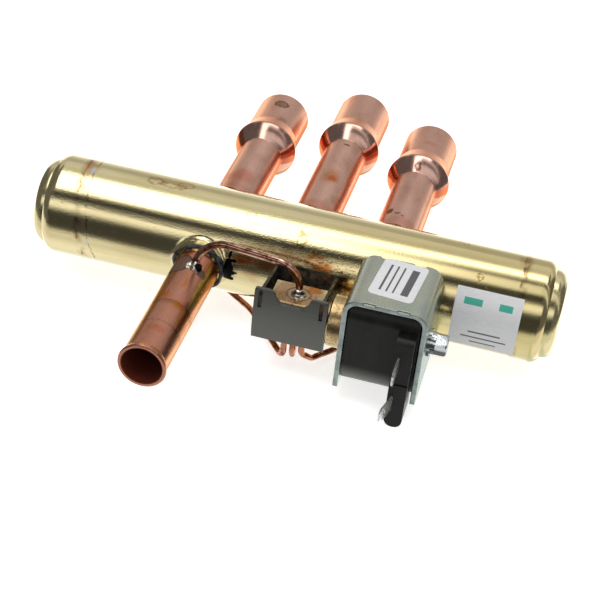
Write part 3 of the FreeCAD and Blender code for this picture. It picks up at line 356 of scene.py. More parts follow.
def brass_finish(name):
    """Brass with drawn lines along X; returns also the colour and roughness that marks are laid over."""
    finish, tree, shader, point = start_finish(name, brass_light, 0.1, 1.0)
    lines = grain(tree, point, 0.35, (60, 1, 1), 4.0, 0.6)
    cloud = grain(tree, point, 14, (2.5, 1, 1), 3.0)
    colour = over(tree, times(tree, fade(tree, cloud, 0.42, 0.75), 0.4), brass_light, brass_deep)
    colour = over(tree, times(tree, fade(tree, lines, 0.5, 0.75), 0.3), colour, brass_deep)
    specks = fade(tree, grain(tree, point, 0.6, (2.0, 1, 1), 2.0), 0.66, 0.74)
    patches = fade(tree, grain(tree, point, 8, (2.0, 1, 1), 2.0), 0.45, 0.62)
    speckled = times(tree, specks, patches)
    colour = over(tree, times(tree, speckled, 0.6), colour, brown_heat)
    rough = plus(tree, times(tree, lines, 0.12), 0.08)
    rough = plus(tree, rough, times(tree, speckled, 0.25))
    return finish, tree, shader, point, lines, colour, rough


def hoop(tree, point, x, tilt, width):
    """1 on a thin line round the body at that X, leaning along X by a share of its height."""
    point_x, _, point_z = split(tree, point)
    leaning = times(tree, less(tree, point_z, middle.z), -tilt)
    across = less(tree, less(tree, point_x, leaning), middle.x + x * mm)
    return fade(tree, calc(tree, "ABSOLUTE", across), width * mm, 0.0)


# Each heat line: its X, how far it leans, its width and its strength.
heat_lines = ((-87.6, 0.15, 2.6, 0.5), (-87.9, 0.15, 0.55, 0.9), (-83.2, 0.18, 0.45, 0.85),
              (93.4, 0.04, 2.4, 0.45), (92.6, 0.06, 0.6, 0.75))
heat_tints = (
    ((-18, -20, 7), (7, 6, 3.5), 0.8, orange_heat), ((-8, -20.5, 6), (8, 5, 2.6), 0.85, orange_heat),
    ((-14, -21, 0), (7, 5, 4), 0.35, orange_heat), ((11, -17, 13), (6, 4, 2.2), 0.85, orange_heat),
    ((15, -18.6, 10), (7, 4, 2.4), 0.9, orange_heat), ((23, -20, 6), (3.5, 5, 6), 0.75, brown_heat),
    ((27, -20, 0), (5, 5, 8), 0.6, orange_heat), ((0, -18, 12), (26, 5, 4.5), 0.7, brown_heat),
    ((91.5, 1, 21), (3.4, 7, 3), 0.45, dried_brown), ((92.4, -5, 20), (1.3, 8, 3), 0.55, brown_heat),
    ((-89.5, -1, 21), (4.5, 7, 3), 0.45, orange_heat), ((-55, 1, 21), (12, 3.2, 2), 0.3, orange_heat))
# Each dried drop: its centre, its size and the strength of its rim.
dried_drops = (
    ((-62, -1, 20.8), (4.6, 3.2, 3), 0.5), ((-54, -1.4, 20.8), (7.5, 2.4, 3), 0.55),
    ((-49, 0.6, 20.9), (4.4, 2.8, 3), 0.4), ((3.6, -13, 16.4), (2.4, 4.6, 4.4), 0.8),
    ((-19.3, -7.3, 19.7), (3.4, 1.6, 1.6), 0.5), ((75.4, -11.6, 17.4), (1.3, 1.6, 1.6), 0.8),
    ((10, -18, 10.6), (4.4, 3, 2.2), 0.7), ((66, 4.7, 20.5), (2.8, 1.8, 1.4), 0.4))
bare_spots = (((-87.8, -2.8, 20.8), (1.0, 2.4, 2), 0.9, bare_silver),
              ((-83.4, -20.8, -2.0), (0.5, 2, 2.4), 0.9, bare_silver))
blot_spikes = (((-21.6, -20.4, 4.8), (2.0, 3, 1.0)), ((-21.4, -21, -0.8), (2.2, 3, 0.9)),
               ((-23.2, -20, 7), (0.9, 3, 1.8)), ((-22.2, -20.7, -3.8), (1.6, 3, 1.1)))
body_finish, tree, shader, point, lines, colour, rough = brass_finish("drawn_brass")
shaken = ragged_point(tree, point, 5.0, 3.0)
loosely_shaken = ragged_point(tree, point, 3.4, 3.2)
finely_shaken = ragged_point(tree, point, 2.4, 1.6)
finest_shaken = ragged_point(tree, point, 1.1, 0.9)
right_side = fade(tree, split(tree, point)[0], middle.x - 20 * mm, middle.x + 80 * mm)
colour = over(tree, times(tree, right_side, 0.4), colour, brass_gold)
broken = fade(tree, grain(tree, point, 5.0, detail=3.0), 0.36, 0.6)
for x, tilt, width, strength in heat_lines:
    line = times(tree, hoop(tree, finely_shaken, x, tilt, width), times(tree, broken, strength))
    colour = over(tree, line, colour, brown_heat)
colour = lay_marks(tree, shaken, colour, heat_tints, 0.8)
for centre, size, strength in dried_drops:
    rim = times(tree, dried_edge(tree, loosely_shaken, centre, size, 0.34), strength)
    colour = over(tree, rim, colour, dried_brown)
sear = fade(tree, grain(tree, point, 0.9, (3.0, 1, 1), 3.0), 0.55, 0.64)
seared = times(tree, sear, mark(tree, shaken, (14, -19, 9), (20, 8, 8), 0.6))
colour = over(tree, times(tree, seared, 0.8), colour, brown_heat)
colour = lay_marks(tree, finest_shaken, colour, bare_spots, 0.3)
blot = mark(tree, finest_shaken, (-23.6, -20.8, 0.6), (2.2, 4, 5.4), 0.12)
for centre, size in blot_spikes:
    blot = most(tree, blot, mark(tree, finest_shaken, centre, size, 0.25))
singed = mark(tree, shaken, (-23, -20.6, 1.5), (4.6, 5, 8), 0.7)
colour = over(tree, times(tree, singed, 0.5), colour, brown_heat)
colour = over(tree, blot, colour, black_flux)
rough = plus(tree, rough, times(tree, most(tree, blot, seared), 0.35))
connect(tree, shader, Base_Color=colour, Roughness=rough)
fine = grain(tree, point, 0.6, (1.2, 1, 1), 1.0)
fine = times(tree, fine, less(tree, 1.2, times(tree, right_side, 0.95)))
height = plus(tree, plus(tree, times(tree, lines, 0.2), fine), times(tree, blot, 3.0))
raise_surface(tree, shader, height, 0.03)
dress(body_finish, "body_tube")

# End caps: pressed brass cups held under the rolled ends of the body.
# They are a little duller than the tube, with faint rings left by the tool and small pits.
caps_finish, tree, shader, point, _, colour, rough = brass_finish("pressed_brass")
rings = grain(tree, point, 0.5, (1, 60, 60), 3.0)
pits = fade(tree, grain(tree, point, 0.7, detail=2.0), 0.62, 0.72)
colour = over(tree, times(tree, pits, 0.3), colour, brown_heat)
connect(tree, shader, Base_Color=colour, Roughness=plus(tree, rough, 0.06))
raise_surface(tree, shader, plus(tree, times(tree, rings, 0.4), times(tree, pits, -1.0)), 0.016)
dress(caps_finish, "left_end_cap", "right_end_cap")


# Seam welds: a thin uneven bead of gray weld that fills the groove between each cap and the rolled end.
# It is welded by machine all round and left dull, with dark scale in its hollows.
def spun(outline, axis_point, axis, outward, turns):
    """A bmesh spun from a closed outline of (along, out) places in millimetres from a point on its axis."""
    form = bmesh.new()
    places = [axis_point + axis * (along * mm) + outward * (out * mm) for along, out in outline]
    corners = [form.verts.new(corner) for corner in places]
    edges = [form.edges.new(pair) for pair in zip(corners, corners[1:] + corners[:1])]
    bmesh.ops.spin(form, geom=corners + edges, cent=axis_point, axis=axis, angle=2 * math.pi, steps=turns,
                   use_merge=True, use_normal_flip=False, use_duplicate=False)
    bmesh.ops.remove_doubles(form, verts=form.verts, dist=1e-7)
    bmesh.ops.recalc_face_normals(form, faces=form.faces)
    return form


def make_uneven(form, lump_size, depth):
    """Moves every point in or out along its normal, by noise with lumps of that size in millimetres."""
    form.normal_update()
    moves = [(vert, vert.normal * noise.noise(vert.co / (lump_size * mm)) * depth * mm) for vert in form.verts]
    for vert, move in moves:
        vert.co += move
    form.normal_update()


def add_piece(form, name, finish):
    """Turns a bmesh into a smooth piece of the fixed body, with its material."""
    mesh = bpy.data.meshes.new(name)
    form.to_mesh(mesh)
    form.free()
    mesh.polygons.foreach_set("use_smooth", [True] * len(mesh.polygons))
    mesh.materials.append(finish)
    piece = bpy.data.objects.new(name, mesh)
    bpy.context.scene.collection.objects.link(piece)
    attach(piece, "valve_body")
    return piece


def bead_outline(along, out, half_width, half_height, points):
    """A closed round section, as (along, out) places in millimetres."""
    places = []
    for number in range(points):
        turn = 2 * math.pi * number / points
        places.append((along + half_width * math.cos(turn), out + half_height * math.sin(turn)))
    return places


along_x = Vector((1, 0, 0))
along_y = Vector((0, 1, 0))
along_z = Vector((0, 0, 1))
weld_gray = shade(120, 117, 110)
weld_scale = shade(38, 36, 34)
weld_finish, tree, shader, point = start_finish("dull_weld", shade(96, 94, 90), 0.5, 0.8)
lumps = grain(tree, point, 0.9, detail=3.0)
connect(tree, shader, Base_Color=two_tone(tree, lumps, 0.4, 0.6, weld_gray, weld_scale))
raise_surface(tree, shader, lumps, 0.2)
seam_x = 103.1
seam_r = 18.5
weld_half_width = 0.75
weld_half_height = 0.6
weld_lump_size = 1.6
weld_unevenness = 0.45
for side, name in ((-1, "left_seam_weld"), (1, "right_seam_weld")):
    section = bead_outline(side * seam_x, seam_r, weld_half_width, weld_half_height, 10)
    form = spun(section, middle, along_x, along_z, 160)
    make_uneven(form, weld_lump_size, weld_unevenness)
    add_piece(form, name, weld_finish)


# Rear tubes: drawn copper, each with a bead rolled into it and a swaged socket at its mouth.
# The copper is dull and pinkish, bright where the rollers pressed the beads, with red torch tints,
# dark stains and a painted red-orange reflection along both flanks of each tube.
copper_light = (0.76, 0.475, 0.385, 1)
copper_dull = (0.62, 0.36, 0.28, 1)
copper_edge = (1.0, 0.66, 0.46, 1)
copper_red = shade(196, 88, 42)
dark_stain = shade(92, 62, 46)


def copper_finish(name):
    """Copper with drawn lines along Y; returns also the colour and roughness that marks are laid over."""
    finish, tree, shader, point = start_finish(name, copper_light, 0.3, 1.0)
    shader.inputs["Specular Tint"].default_value = copper_edge
    lines = grain(tree, point, 0.35, (1, 50, 1), 4.0, 0.6)
    cloud = grain(tree, point, 8, (1, 2.0, 1), 3.0)
    colour = two_tone(tree, cloud, 0.45, 0.75, copper_light, copper_dull)
    colour = over(tree, times(tree, fade(tree, lines, 0.5, 0.8), 0.4), colour, copper_dull)
    flecks = fade(tree, grain(tree, point, 0.8, (1, 1.6, 1), 3.0), 0.68, 0.74)
    colour = over(tree, times(tree, flecks, 0.6), colour, dark_stain)
    rough = plus(tree, times(tree, lines, 0.16), 0.2)
    return finish, tree, shader, point, lines, colour, rough


def arc(centre, radius, start, end, steps):
    """Points on an arc of a tube's outline, as (along, out) places; angles in degrees from straight out."""
    angles = [math.radians(start + (end - start) * number / steps) for number in range(steps + 1)]
    return [(centre[0] + radius * math.sin(turn), centre[1] + radius * math.cos(turn)) for turn in angles]


def bead_steps(bead_y, tube_r, crown_r, inset):
    """The rolled bead from its foot to its crown: a small hollow, a broad bowed face and a round crown.
    The inside of the wall has the same bead, with its rounds changed by the inset."""
    foot_turn, crown_turn, crown_end = 39.0, 22.0, 16
    crown_radius = 2.6 - inset
    foot_radius = 0.9 + inset
    crown_centre = (bead_y, crown_r - crown_radius)
    face_top = arc(crown_centre, crown_radius, -crown_turn, -crown_turn, 1)[0]
    drop = face_top[1] - tube_r - foot_radius * (1 - math.cos(math.radians(foot_turn)))
    face_radius = drop / (math.cos(math.radians(crown_turn)) - math.cos(math.radians(foot_turn)))
    face_centre = (face_top[0] + face_radius * math.sin(math.radians(crown_turn)),
                   face_top[1] - face_radius * math.cos(math.radians(crown_turn)))
    face = arc(face_centre, face_radius, -foot_turn, -crown_turn, 8)
    foot_y = face[0][0] - foot_radius * math.sin(math.radians(foot_turn))
    hollow = arc((foot_y, tube_r + foot_radius), foot_radius, 180, 180 - foot_turn, 5)
    return hollow + face[1:] + arc(crown_centre, crown_radius, -crown_turn, crown_end, 8)[1:]


port_pitch = 35.3
outer_bead_y = 76.9
suction_bead_y = 91.7
outer_reach = 108.0
suction_reach = 124.0
rear_tubes = (("left_stub", -port_pitch, outer_bead_y, outer_reach),
              ("suction_stub", 0, suction_bead_y, suction_reach),
              ("right_stub", port_pitch, outer_bead_y, outer_reach))
torch_tints = (
    ((0.5, 51, 9.5), (5.5, 8, 5), 0.6, orange_heat), ((1.5, 49, 9.5), (2.2, 3, 3), 0.7, copper_red),
    ((-35, 36, 9), (9, 8, 6), 0.45, copper_red), ((0, 27, 9), (12, 5, 12), 0.3, copper_red),
    ((36, 28, 9), (12, 5, 12), 0.3, copper_red), ((-35, 27, 9), (12, 5, 12), 0.3, copper_red),
    ((-31, 86, 11), (3, 3, 4), 0.4, dark_stain), ((37, 92, 12), (5, 3, 4), 0.25, copper_red))
socket_stain = ((-34.4, 98.6, 12), (4.0, 3.0, 2))
bead_stain = ((34.8, 69.4, 13.2), (2.2, 4.4, 4))
small_stains = (
    ((1.1, 79.4, 9.5), (1.9, 0.7, 2), 0.9, dark_stain), ((30.3, 35.5, 8), (1.7, 2.4, 2.4), 0.85, dark_stain),
    ((33.5, 33.5, 9.5), (1.6, 1.0, 2), 0.7, dark_stain), ((36.4, 32.0, 9.5), (1.0, 0.6, 2), 0.7, dark_stain),
    (*socket_stain, 0.55, dark_stain), (*bead_stain, 0.6, dark_stain))
stub_finish, tree, shader, point, lines, colour, rough = copper_finish("drawn_copper")
shaken = ragged_point(tree, point, 4.0, 2.4)
finely_shaken = ragged_point(tree, point, 1.6, 1.0)
colour = lay_marks(tree, shaken, colour, torch_tints, 0.7)
colour = lay_marks(tree, finely_shaken, colour, small_stains, 0.25)
stain_rims = most(tree, dried_edge(tree, finely_shaken, *socket_stain, 0.22),
                  dried_edge(tree, finely_shaken, *bead_stain, 0.2))
colour = over(tree, times(tree, stain_rims, 0.8), colour, dark_stain)
for _, x, bead_y, _ in rear_tubes:
    pressed = mark(tree, point, (x, bead_y - 3.8, 0), (21, 6.4, 21), 0.3)
    rough = less(tree, rough, times(tree, pressed, 0.11))
# Both flanks of each tube carry a painted red-orange reflection, so each is measured from the nearest tube's
# axis.
shaken_x, _, shaken_z = split(tree, finely_shaken)
half_pitch = port_pitch / 2 * mm
inputs = {0: less(tree, shaken_x, middle.x), 1: half_pitch, 2: -half_pitch}
nearest = node(tree, "Math", inputs, operation="WRAP").outputs[0]
out = node(tree, "CombineXYZ", {0: nearest, 2: less(tree, shaken_z, middle.z)}).outputs[0]
side_x, _, side_z = split(tree, node(tree, "VectorMath", {0: out}, operation="NORMALIZE").outputs[0])
painted_flank_reflection = most(tree, fade(tree, side_x, 0.97, 0.99), fade(tree, side_x, -0.76, -0.84))
painted_flank_reflection = times(tree, painted_flank_reflection, fade(tree, side_z, -0.5, -0.2))
colour = over(tree, times(tree, painted_flank_reflection, 0.8), colour, copper_red)
connect(tree, shader, Base_Color=colour, Roughness=rough)
raise_surface(tree, shader, lines, 0.004)
# An extra ring of points stands close beside each corner, so that the smooth shading stays in the corner.
wall = 1.1
stub_r = 9.525
crown_r = 13.9
socket_r = 12.0
socket_wall = 0.85
socket_bore = socket_r - socket_wall
cone_length = 8.2
before_cone_end, at_cone_end = 0.09, 0.03
inner_end = 14.3
lip_round = 0.4
ring_gap = 0.4
for name, x, bead_y, reach in rear_tubes:
    cone_end = bead_y + cone_length
    outside = [
        (inner_end, stub_r), (inner_end + ring_gap, stub_r),
        *bead_steps(bead_y, stub_r, crown_r, 0.0),
        (cone_end - ring_gap, socket_r + before_cone_end), (cone_end, socket_r + at_cone_end),
        (cone_end + ring_gap, socket_r), (reach - lip_round - ring_gap, socket_r),
        (reach - lip_round, socket_r), (reach, socket_r - lip_round)]
    inside = [
        (inner_end, stub_r - wall), (inner_end + ring_gap, stub_r - wall),
        *bead_steps(bead_y, stub_r - wall, crown_r - wall, wall),
        (cone_end - ring_gap, socket_bore + before_cone_end), (cone_end, socket_bore + at_cone_end),
        (cone_end + ring_gap, socket_bore), (reach - ring_gap, socket_bore), (reach, socket_bore)]
    form = spun(outside + inside[::-1], place(x, 0, 0), along_y, along_x, 128)
    tube = add_piece(form, "drawn_" + name, stub_finish)
    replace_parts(tube, name)

# Discharge tube: the fourth copper tube, brazed into the collar in front.
# The torch has left two thin tinted rings on it, orange blotches, a reddish root and a dark patch of flux.
tube_x = -port_pitch
bore_r = 8.1
golden_edge = (1.0, 0.85, 0.6, 1)
painted_brass_reflection = shade(255, 226, 140)
streak_edge_dark = shade(96, 58, 38)
burnt_ring = shade(104, 52, 30)
reddened = shade(186, 104, 66)
patch_brown = shade(96, 82, 74)
inner_brown = shade(112, 50, 36)
tube_tints = (
    ((tube_x, -30, 0), (14, 12, 14), 0.45, copper_red),
    ((tube_x + 4, -61.5, 8), (4.5, 3.6, 4), 0.85, orange_heat),
    ((tube_x - 3, -57, 8), (3.6, 3.4, 4), 0.75, orange_heat),
    ((tube_x + 7, -66, 5), (3, 9, 5), 0.7, orange_heat),
    ((tube_x + 8, -36, 4), (3.0, 12, 6), 0.85, orange_heat),
    ((tube_x + 7.5, -47, 4), (2.5, 10, 5), 0.6, orange_heat),
    ((tube_x + 1.8, -47, 9), (1.1, 5.5, 2), 0.9, orange_heat),
    ((tube_x - 2.5, -56, 9), (1.0, 5, 2), 0.7, copper_red),
    ((tube_x + 1, -78.5, 9), (5, 3, 4), 0.45, copper_red),
    ((tube_x + 6.6, -58, 6), (2.0, 3.4, 3), 0.8, dark_stain))
# Painted reflections of the brass body: a long golden streak down each side of the tube, with thin dark lines
# along their edges.
painted_side_streaks = (
    ((tube_x + 6.8, -44, 4.4), (1.8, 22, 2.4), 0.9, painted_brass_reflection),
    ((tube_x - 7.4, -50, 3.2), (1.7, 38, 2.2), 0.9, painted_brass_reflection),
    ((tube_x - 6.3, -48, 5.2), (0.45, 22, 0.8), 0.8, streak_edge_dark),
    ((tube_x + 5.2, -44, 6.2), (0.5, 20, 0.9), 0.7, streak_edge_dark),
    ((tube_x + 7.9, -46, 2), (0.5, 20, 0.9), 0.7, streak_edge_dark))
tube_finish, tree, shader, point, lines, colour, rough = copper_finish("flame_tinted_copper")
shader.inputs["Specular Tint"].default_value = golden_edge
shaken = ragged_point(tree, point, 3.0, 1.8)
finely_shaken = ragged_point(tree, point, 1.4, 0.9)
colour = over(tree, 0.6, colour, reddened)
colour = lay_marks(tree, shaken, colour, tube_tints, 0.7)
colour = lay_marks(tree, finely_shaken, colour, painted_side_streaks, 0.4)
for y, width, strength in ((-60.2, 0.55, 0.95), (-73.9, 0.45, 0.9), (-61.5, 1.6, 0.35)):
    ring = mark(tree, finely_shaken, (tube_x, y, 0), (40, width, 40), 0.9)
    colour = over(tree, times(tree, ring, strength), colour, burnt_ring)
spots = fade(tree, grain(tree, point, 0.6, detail=2.0), 0.6, 0.68)
spots = times(tree, spots, mark(tree, shaken, (tube_x + 1, -78, 9), (6, 4, 4), 0.5))
colour = over(tree, times(tree, spots, 0.7), colour, dark_stain)
patch = mark(tree, finely_shaken, (tube_x - 4.2, -34.6, 7), (5.2, 6.4, 8), 0.12)
patch = most(tree, patch, mark(tree, finely_shaken, (tube_x + 5.4, -37.4, 7), (2.2, 2.6, 4), 0.15))
colour = over(tree, times(tree, patch, 0.85), colour, patch_brown)
patch_rim = dried_edge(tree, finely_shaken, (tube_x - 4.2, -34.6, 7), (5.4, 6.6, 8.2), 0.12)
colour = over(tree, times(tree, patch_rim, 0.8), colour, black_flux)
point_x, _, point_z = split(tree, point)
from_axis = {0: less(tree, point_x, middle.x + tube_x * mm), 2: less(tree, point_z, middle.z)}
away = node(tree, "CombineXYZ", from_axis).outputs[0]
radius = node(tree, "VectorMath", {0: away}, operation="LENGTH").outputs["Value"]
inside = fade(tree, radius, (bore_r + 0.3) * mm, bore_r * mm)
colour = over(tree, inside, colour, inner_brown)
rough = plus(tree, rough, times(tree, most(tree, patch, inside), 0.3))
metal = less(tree, 1.0, times(tree, most(tree, inside, times(tree, patch, 0.5)), 0.7))
connect(tree, shader, Base_Color=colour, Roughness=rough, Metallic=metal)
raise_surface(tree, shader, plus(tree, times(tree, lines, 0.3), patch), 0.016)
dress(tube_finish, "discharge_tube")

# Collar flux: a crust of black flux, baked on round the discharge tube over the collar's lip.
# It is glassy and uneven, and laps on to the copper and on to the brass.
flux_black = shade(22, 23, 26)
flux_gray = shade(58, 62, 70)
flux_finish, tree, shader, point = start_finish("baked_flux", shade(26, 28, 32), 0.3)
lumps = grain(tree, point, 1.1, detail=3.0)
connect(tree, shader, Base_Color=two_tone(tree, lumps, 0.4, 0.62, flux_black, flux_gray))
raise_surface(tree, shader, lumps, 0.15)
flux_y = -23.3
flux_r = 9.75
section = bead_outline(flux_y, flux_r, 1.3, 0.95, 12)
form = spun(section, place(tube_x, 0, 0), along_y, along_x, 120)
make_uneven(form, 3.4, 0.7)
add_piece(form, "collar_flux", flux_finish)

# Soldered feet: small cones of silver solder round the thick capillary, one on the discharge tube
# and one on the pilot body, and round each thin capillary where it goes in.
solder_pale = shade(222, 216, 204)
solder_brown = shade(150, 132, 108)
silver_finish, tree, shader, point = start_finish("silver_solder", shade(214, 208, 196), 0.2, 1.0)
lumps = grain(tree, point, 1.3, detail=3.0)
colour = two_tone(tree, lumps, 0.5, 0.62, solder_pale, solder_brown)
charred = mark(tree, point, (-31.6, -36.4, 8.6), (2.0, 2.6, 3), 0.3)
burnt = most(tree, fade(tree, lumps, 0.64, 0.7), charred)
colour = over(tree, burnt, colour, black_flux)
connect(tree, shader, Base_Color=colour, Roughness=plus(tree, times(tree, burnt, 0.3), 0.16))
raise_surface(tree, shader, lumps, 0.12)
pilot_port = (9.8, -38.9, 9.3)
pilot_under_z = -6.9
pilot_pitch = 3.6
thick_r = 1.5
thin_r = 1.3
end_hole_x = 98.2
rear_low = Vector((0, 1, -1)).normalized()
on_body = rear_low * 20.9 * mm
# Each foot: where it stands, which way it points, its tube's radius, its own radius and its height.
feet = [("pilot_top_solder", place(*pilot_port), along_z, thick_r, 3.1, 3.0)]
for side, name in ((-1, "pilot_left_solder"), (0, "pilot_middle_solder"), (1, "pilot_right_solder")):
    foot = place(pilot_port[0] + side * pilot_pitch, pilot_port[1], pilot_under_z)
    feet.append((name, foot, -along_z, thin_r, 1.7, 1.0))
feet += [("suction_tap_solder", place(0, 34.0, -9.4), -along_z, thin_r, 2.6, 1.6),
         ("left_chamber_solder", place(-end_hole_x, 0, 0) + on_body, rear_low, thin_r, 2.8, 1.8),
         ("right_chamber_solder", place(end_hole_x, 0, 0) + on_body, rear_low, thin_r, 2.8, 1.8)]
for name, foot, axis, tube_r, base_r, rise in feet:
    neck = tube_r + 0.02
    spread = base_r - neck
    outline = [(-0.3, neck), (rise, neck), (rise * 0.62, neck + spread * 0.12),
               (rise * 0.32, neck + spread * 0.32), (rise * 0.1, neck + spread * 0.66),
               (0.02, base_r), (-0.3, base_r)]
    form = spun(outline, foot, axis, along_x, 40)
    make_uneven(form, 1.5, 0.16)
    add_piece(form, name, silver_finish)
form = bmesh.new()
bmesh.ops.create_icosphere(form, subdivisions=4, radius=mm)
bmesh.ops.scale(form, verts=form.verts, vec=(3.2, 3.4, 1.5))
bmesh.ops.translate(form, verts=form.verts, vec=place(-33.4, -35.8, 8.5))
make_uneven(form, 1.9, 1.3)
add_piece(form, "discharge_tap_solder", silver_finish)

# Braze: rings of golden solder run into the four tube joints, with glassy black flux beside them.
# Each is an uneven fillet that follows the round of the body.
braze_gold = shade(214, 168, 92)
braze_brown = shade(120, 84, 46)
braze_finish, tree, shader, point = start_finish("braze_metal", shade(206, 160, 84), 0.3, 1.0)
lumps = grain(tree, point, 2.2, detail=3.0)
colour = two_tone(tree, lumps, 0.42, 0.55, braze_gold, braze_brown)
colour = over(tree, fade(tree, lumps, 0.56, 0.64), colour, black_flux)
connect(tree, shader, Base_Color=colour, Roughness=plus(tree, times(tree, lumps, 0.5), 0.1))
raise_surface(tree, shader, lumps, 0.25)
dress(braze_finish, "braze_fillets")

# Pilot bracket: a folded steel saddle, brazed to the body and left black by the flux.
# The cheeks are blued and sooty, with brown rust where the flux has burnt off.
soot_light = shade(70, 64, 58)
soot_dark = shade(30, 25, 20)
rust_brown = shade(120, 74, 40)
bracket_finish, tree, shader, point = start_finish("fluxed_steel", shade(52, 46, 40), 0.42, 0.7)
lumps = grain(tree, point, 2.5, detail=4.0)
colour = two_tone(tree, lumps, 0.4, 0.65, soot_light, soot_dark)
rust = fade(tree, grain(tree, point, 4.0, detail=3.0), 0.56, 0.68)
colour = over(tree, times(tree, rust, 0.6), colour, rust_brown)
connect(tree, shader, Base_Color=colour, Roughness=plus(tree, times(tree, lumps, 0.4), 0.25))
raise_surface(tree, shader, lumps, 0.05)
dress(bracket_finish, "pilot_bracket")


# Clamp plate: a bowed spring-steel strip, hooked over the tabs of the bracket's cheeks.
# It is tumbled to a smooth gray, with fine lines along it and its sheared edges rounded.
def softened(name, width, segments):
    """A copy of a solid's mesh, merged, with its sharp edges rounded by that width in millimetres."""
    flat_angle = math.radians(0.5)
    sharp_angle = math.radians(35)
    form = bmesh.new()
    form.from_mesh(nodes[name].data)
    bmesh.ops.remove_doubles(form, verts=form.verts, dist=1e-6)
    bmesh.ops.dissolve_limit(form, angle_limit=flat_angle, verts=form.verts, edges=form.edges)
    inner_edges = [edge for edge in form.edges if len(edge.link_faces) == 2]
    sharp = [edge for edge in inner_edges if edge.calc_face_angle() > sharp_angle]
    bmesh.ops.bevel(form, geom=sharp, offset=width * mm, offset_type="OFFSET", segments=segments,
                    profile=0.5, affect="EDGES", clamp_overlap=True, material=-1)
    bmesh.ops.triangulate(form, faces=[face for face in form.faces if len(face.verts) > 4])
    bmesh.ops.recalc_face_normals(form, faces=form.faces)
    return form


def even_faces(piece):
    """Keeps the wide faces of a rounded piece flat in the light, so that only its edges look round."""
    piece.modifiers.new("even_faces", "WEIGHTED_NORMAL").weight = 80
    return piece


brushed_light = shade(110, 110, 106)
brushed_dark = shade(107, 107, 103)
cloudy_gray = shade(102, 102, 98)
clamp_finish, tree, shader, point = start_finish("gray_spring_steel", shade(108, 108, 104), 0.36, 0.8)
brushed = grain(tree, point, 0.3, (40, 1, 1), 3.0)
lumps = grain(tree, point, 6, (1.5, 1, 1), 2.0)
colour = two_tone(tree, brushed, 0.35, 0.7, brushed_light, brushed_dark)
colour = over(tree, times(tree, fade(tree, lumps, 0.45, 0.7), 0.3), colour, cloudy_gray)
connect(tree, shader, Base_Color=colour, Roughness=plus(tree, times(tree, brushed, 0.06), 0.34))
raise_surface(tree, shader, brushed, 0.0006)
plate = add_piece(softened("clamp_plate", 0.22, 2), "rounded_clamp_plate", clamp_finish)
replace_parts(even_faces(plate), "clamp_plate")

# Pilot valve body: turned from brass rod, with flats milled on it, a neck and a flange.
# The flat under the thick capillary is stained pink and brown by the torch, and one corner is coloured a
# bright orange.
pilot_pink = shade(176, 132, 98)
pilot_brown = shade(156, 108, 62)
halo_gray = shade(170, 160, 148)
pilot_stains = (
    ((9, -38.9, 10), (14, 12, 5), 0.75, pilot_pink), ((15.4, -34, 9.5), (4.2, 3.2, 3), 0.95, orange_heat),
    ((3, -42, 9.5), (5, 4, 4), 0.4, brown_heat), ((27, -39, 2), (7, 16, 16), 0.7, pilot_brown),
    ((22, -39, 2), (2.5, 14, 14), 0.4, brown_heat))
pilot_finish, tree, shader, point, _, colour, rough = brass_finish("milled_brass")
colour = lay_marks(tree, ragged_point(tree, point, 3.0, 2.0), colour, pilot_stains, 0.5)
mottle = grain(tree, point, 0.9, detail=3.0)
colour = over(tree, times(tree, fade(tree, mottle, 0.5, 0.66), 0.5), colour, brown_heat)
halo_point = ragged_point(tree, point, 1.6, 0.9)
halo = mark(tree, halo_point, pilot_port, (4.6, 4.2, 3), 0.3)
colour = over(tree, times(tree, halo, 0.75), colour, halo_gray)
halo_rim = dried_edge(tree, halo_point, pilot_port, (5.6, 5.0, 3), 0.16)
colour = over(tree, times(tree, halo_rim, 0.7), colour, brown_heat)
connect(tree, shader, Base_Color=colour, Roughness=plus(tree, rough, times(tree, mottle, 0.3)))
raise_surface(tree, shader, mottle, 0.03)
dress(pilot_finish, "pilot_body")


# Capillary tubes: thin drawn copper, one thick one over the top and three along the underside.
# The thick one has gone brown in the torch, and orange where it was soldered to the pilot valve.
def capillary_finish(name, light, dark, roughness):
    finish, tree, shader, point = start_finish(name, light, roughness, 1.0)
    colour = two_tone(tree, grain(tree, point, 3.0, detail=3.0), 0.4, 0.65, light, dark)
    glowed = mark(tree, ragged_point(tree, point, 3.0, 1.5), (9, -37, 15), (8, 8, 8), 0.6)
    connect(tree, shader, Base_Color=over(tree, times(tree, glowed, 0.7), colour, orange_heat))
    raise_surface(tree, shader, grain(tree, point, 0.5), 0.01)
    return finish


browned = capillary_finish("browned_capillary", shade(200, 160, 140), shade(126, 78, 58), 0.12)
bright = capillary_finish("bright_capillary", shade(196, 132, 102), shade(132, 78, 56), 0.2)
dress(browned, "discharge_capillary")
dress(bright, "suction_capillary", "left_capillary", "right_capillary")

# Coil frame: one strip of zinc-plated steel, folded over the coil and crimped on its top.
# The plating is a soft gray with a green and gold cast on top, and bluer along its sheared edges.
zinc_gold = shade(190, 192, 172)
zinc_green = shade(176, 184, 174)
zinc_dull = shade(164, 166, 152)
leg_top_painted_shade = shade(112, 128, 116)
leg_foot_painted_light = shade(156, 168, 161)
sheared_light = shade(176, 186, 185)
sheared_dark = shade(132, 146, 144)
zinc_finish, tree, shader, point = start_finish("zinc_plate", shade(176, 180, 172), 0.3, 0.9)
cloud = grain(tree, point, 9, detail=3.0)
fine = grain(tree, point, 0.35, detail=3.0)
lines = grain(tree, point, 0.3, (1, 30, 30), 3.0)
colour = two_tone(tree, cloud, 0.35, 0.7, zinc_gold, zinc_green)
colour = over(tree, times(tree, fade(tree, lines, 0.4, 0.75), 0.3), colour, zinc_dull)
point_x, point_y, point_z = split(tree, point)
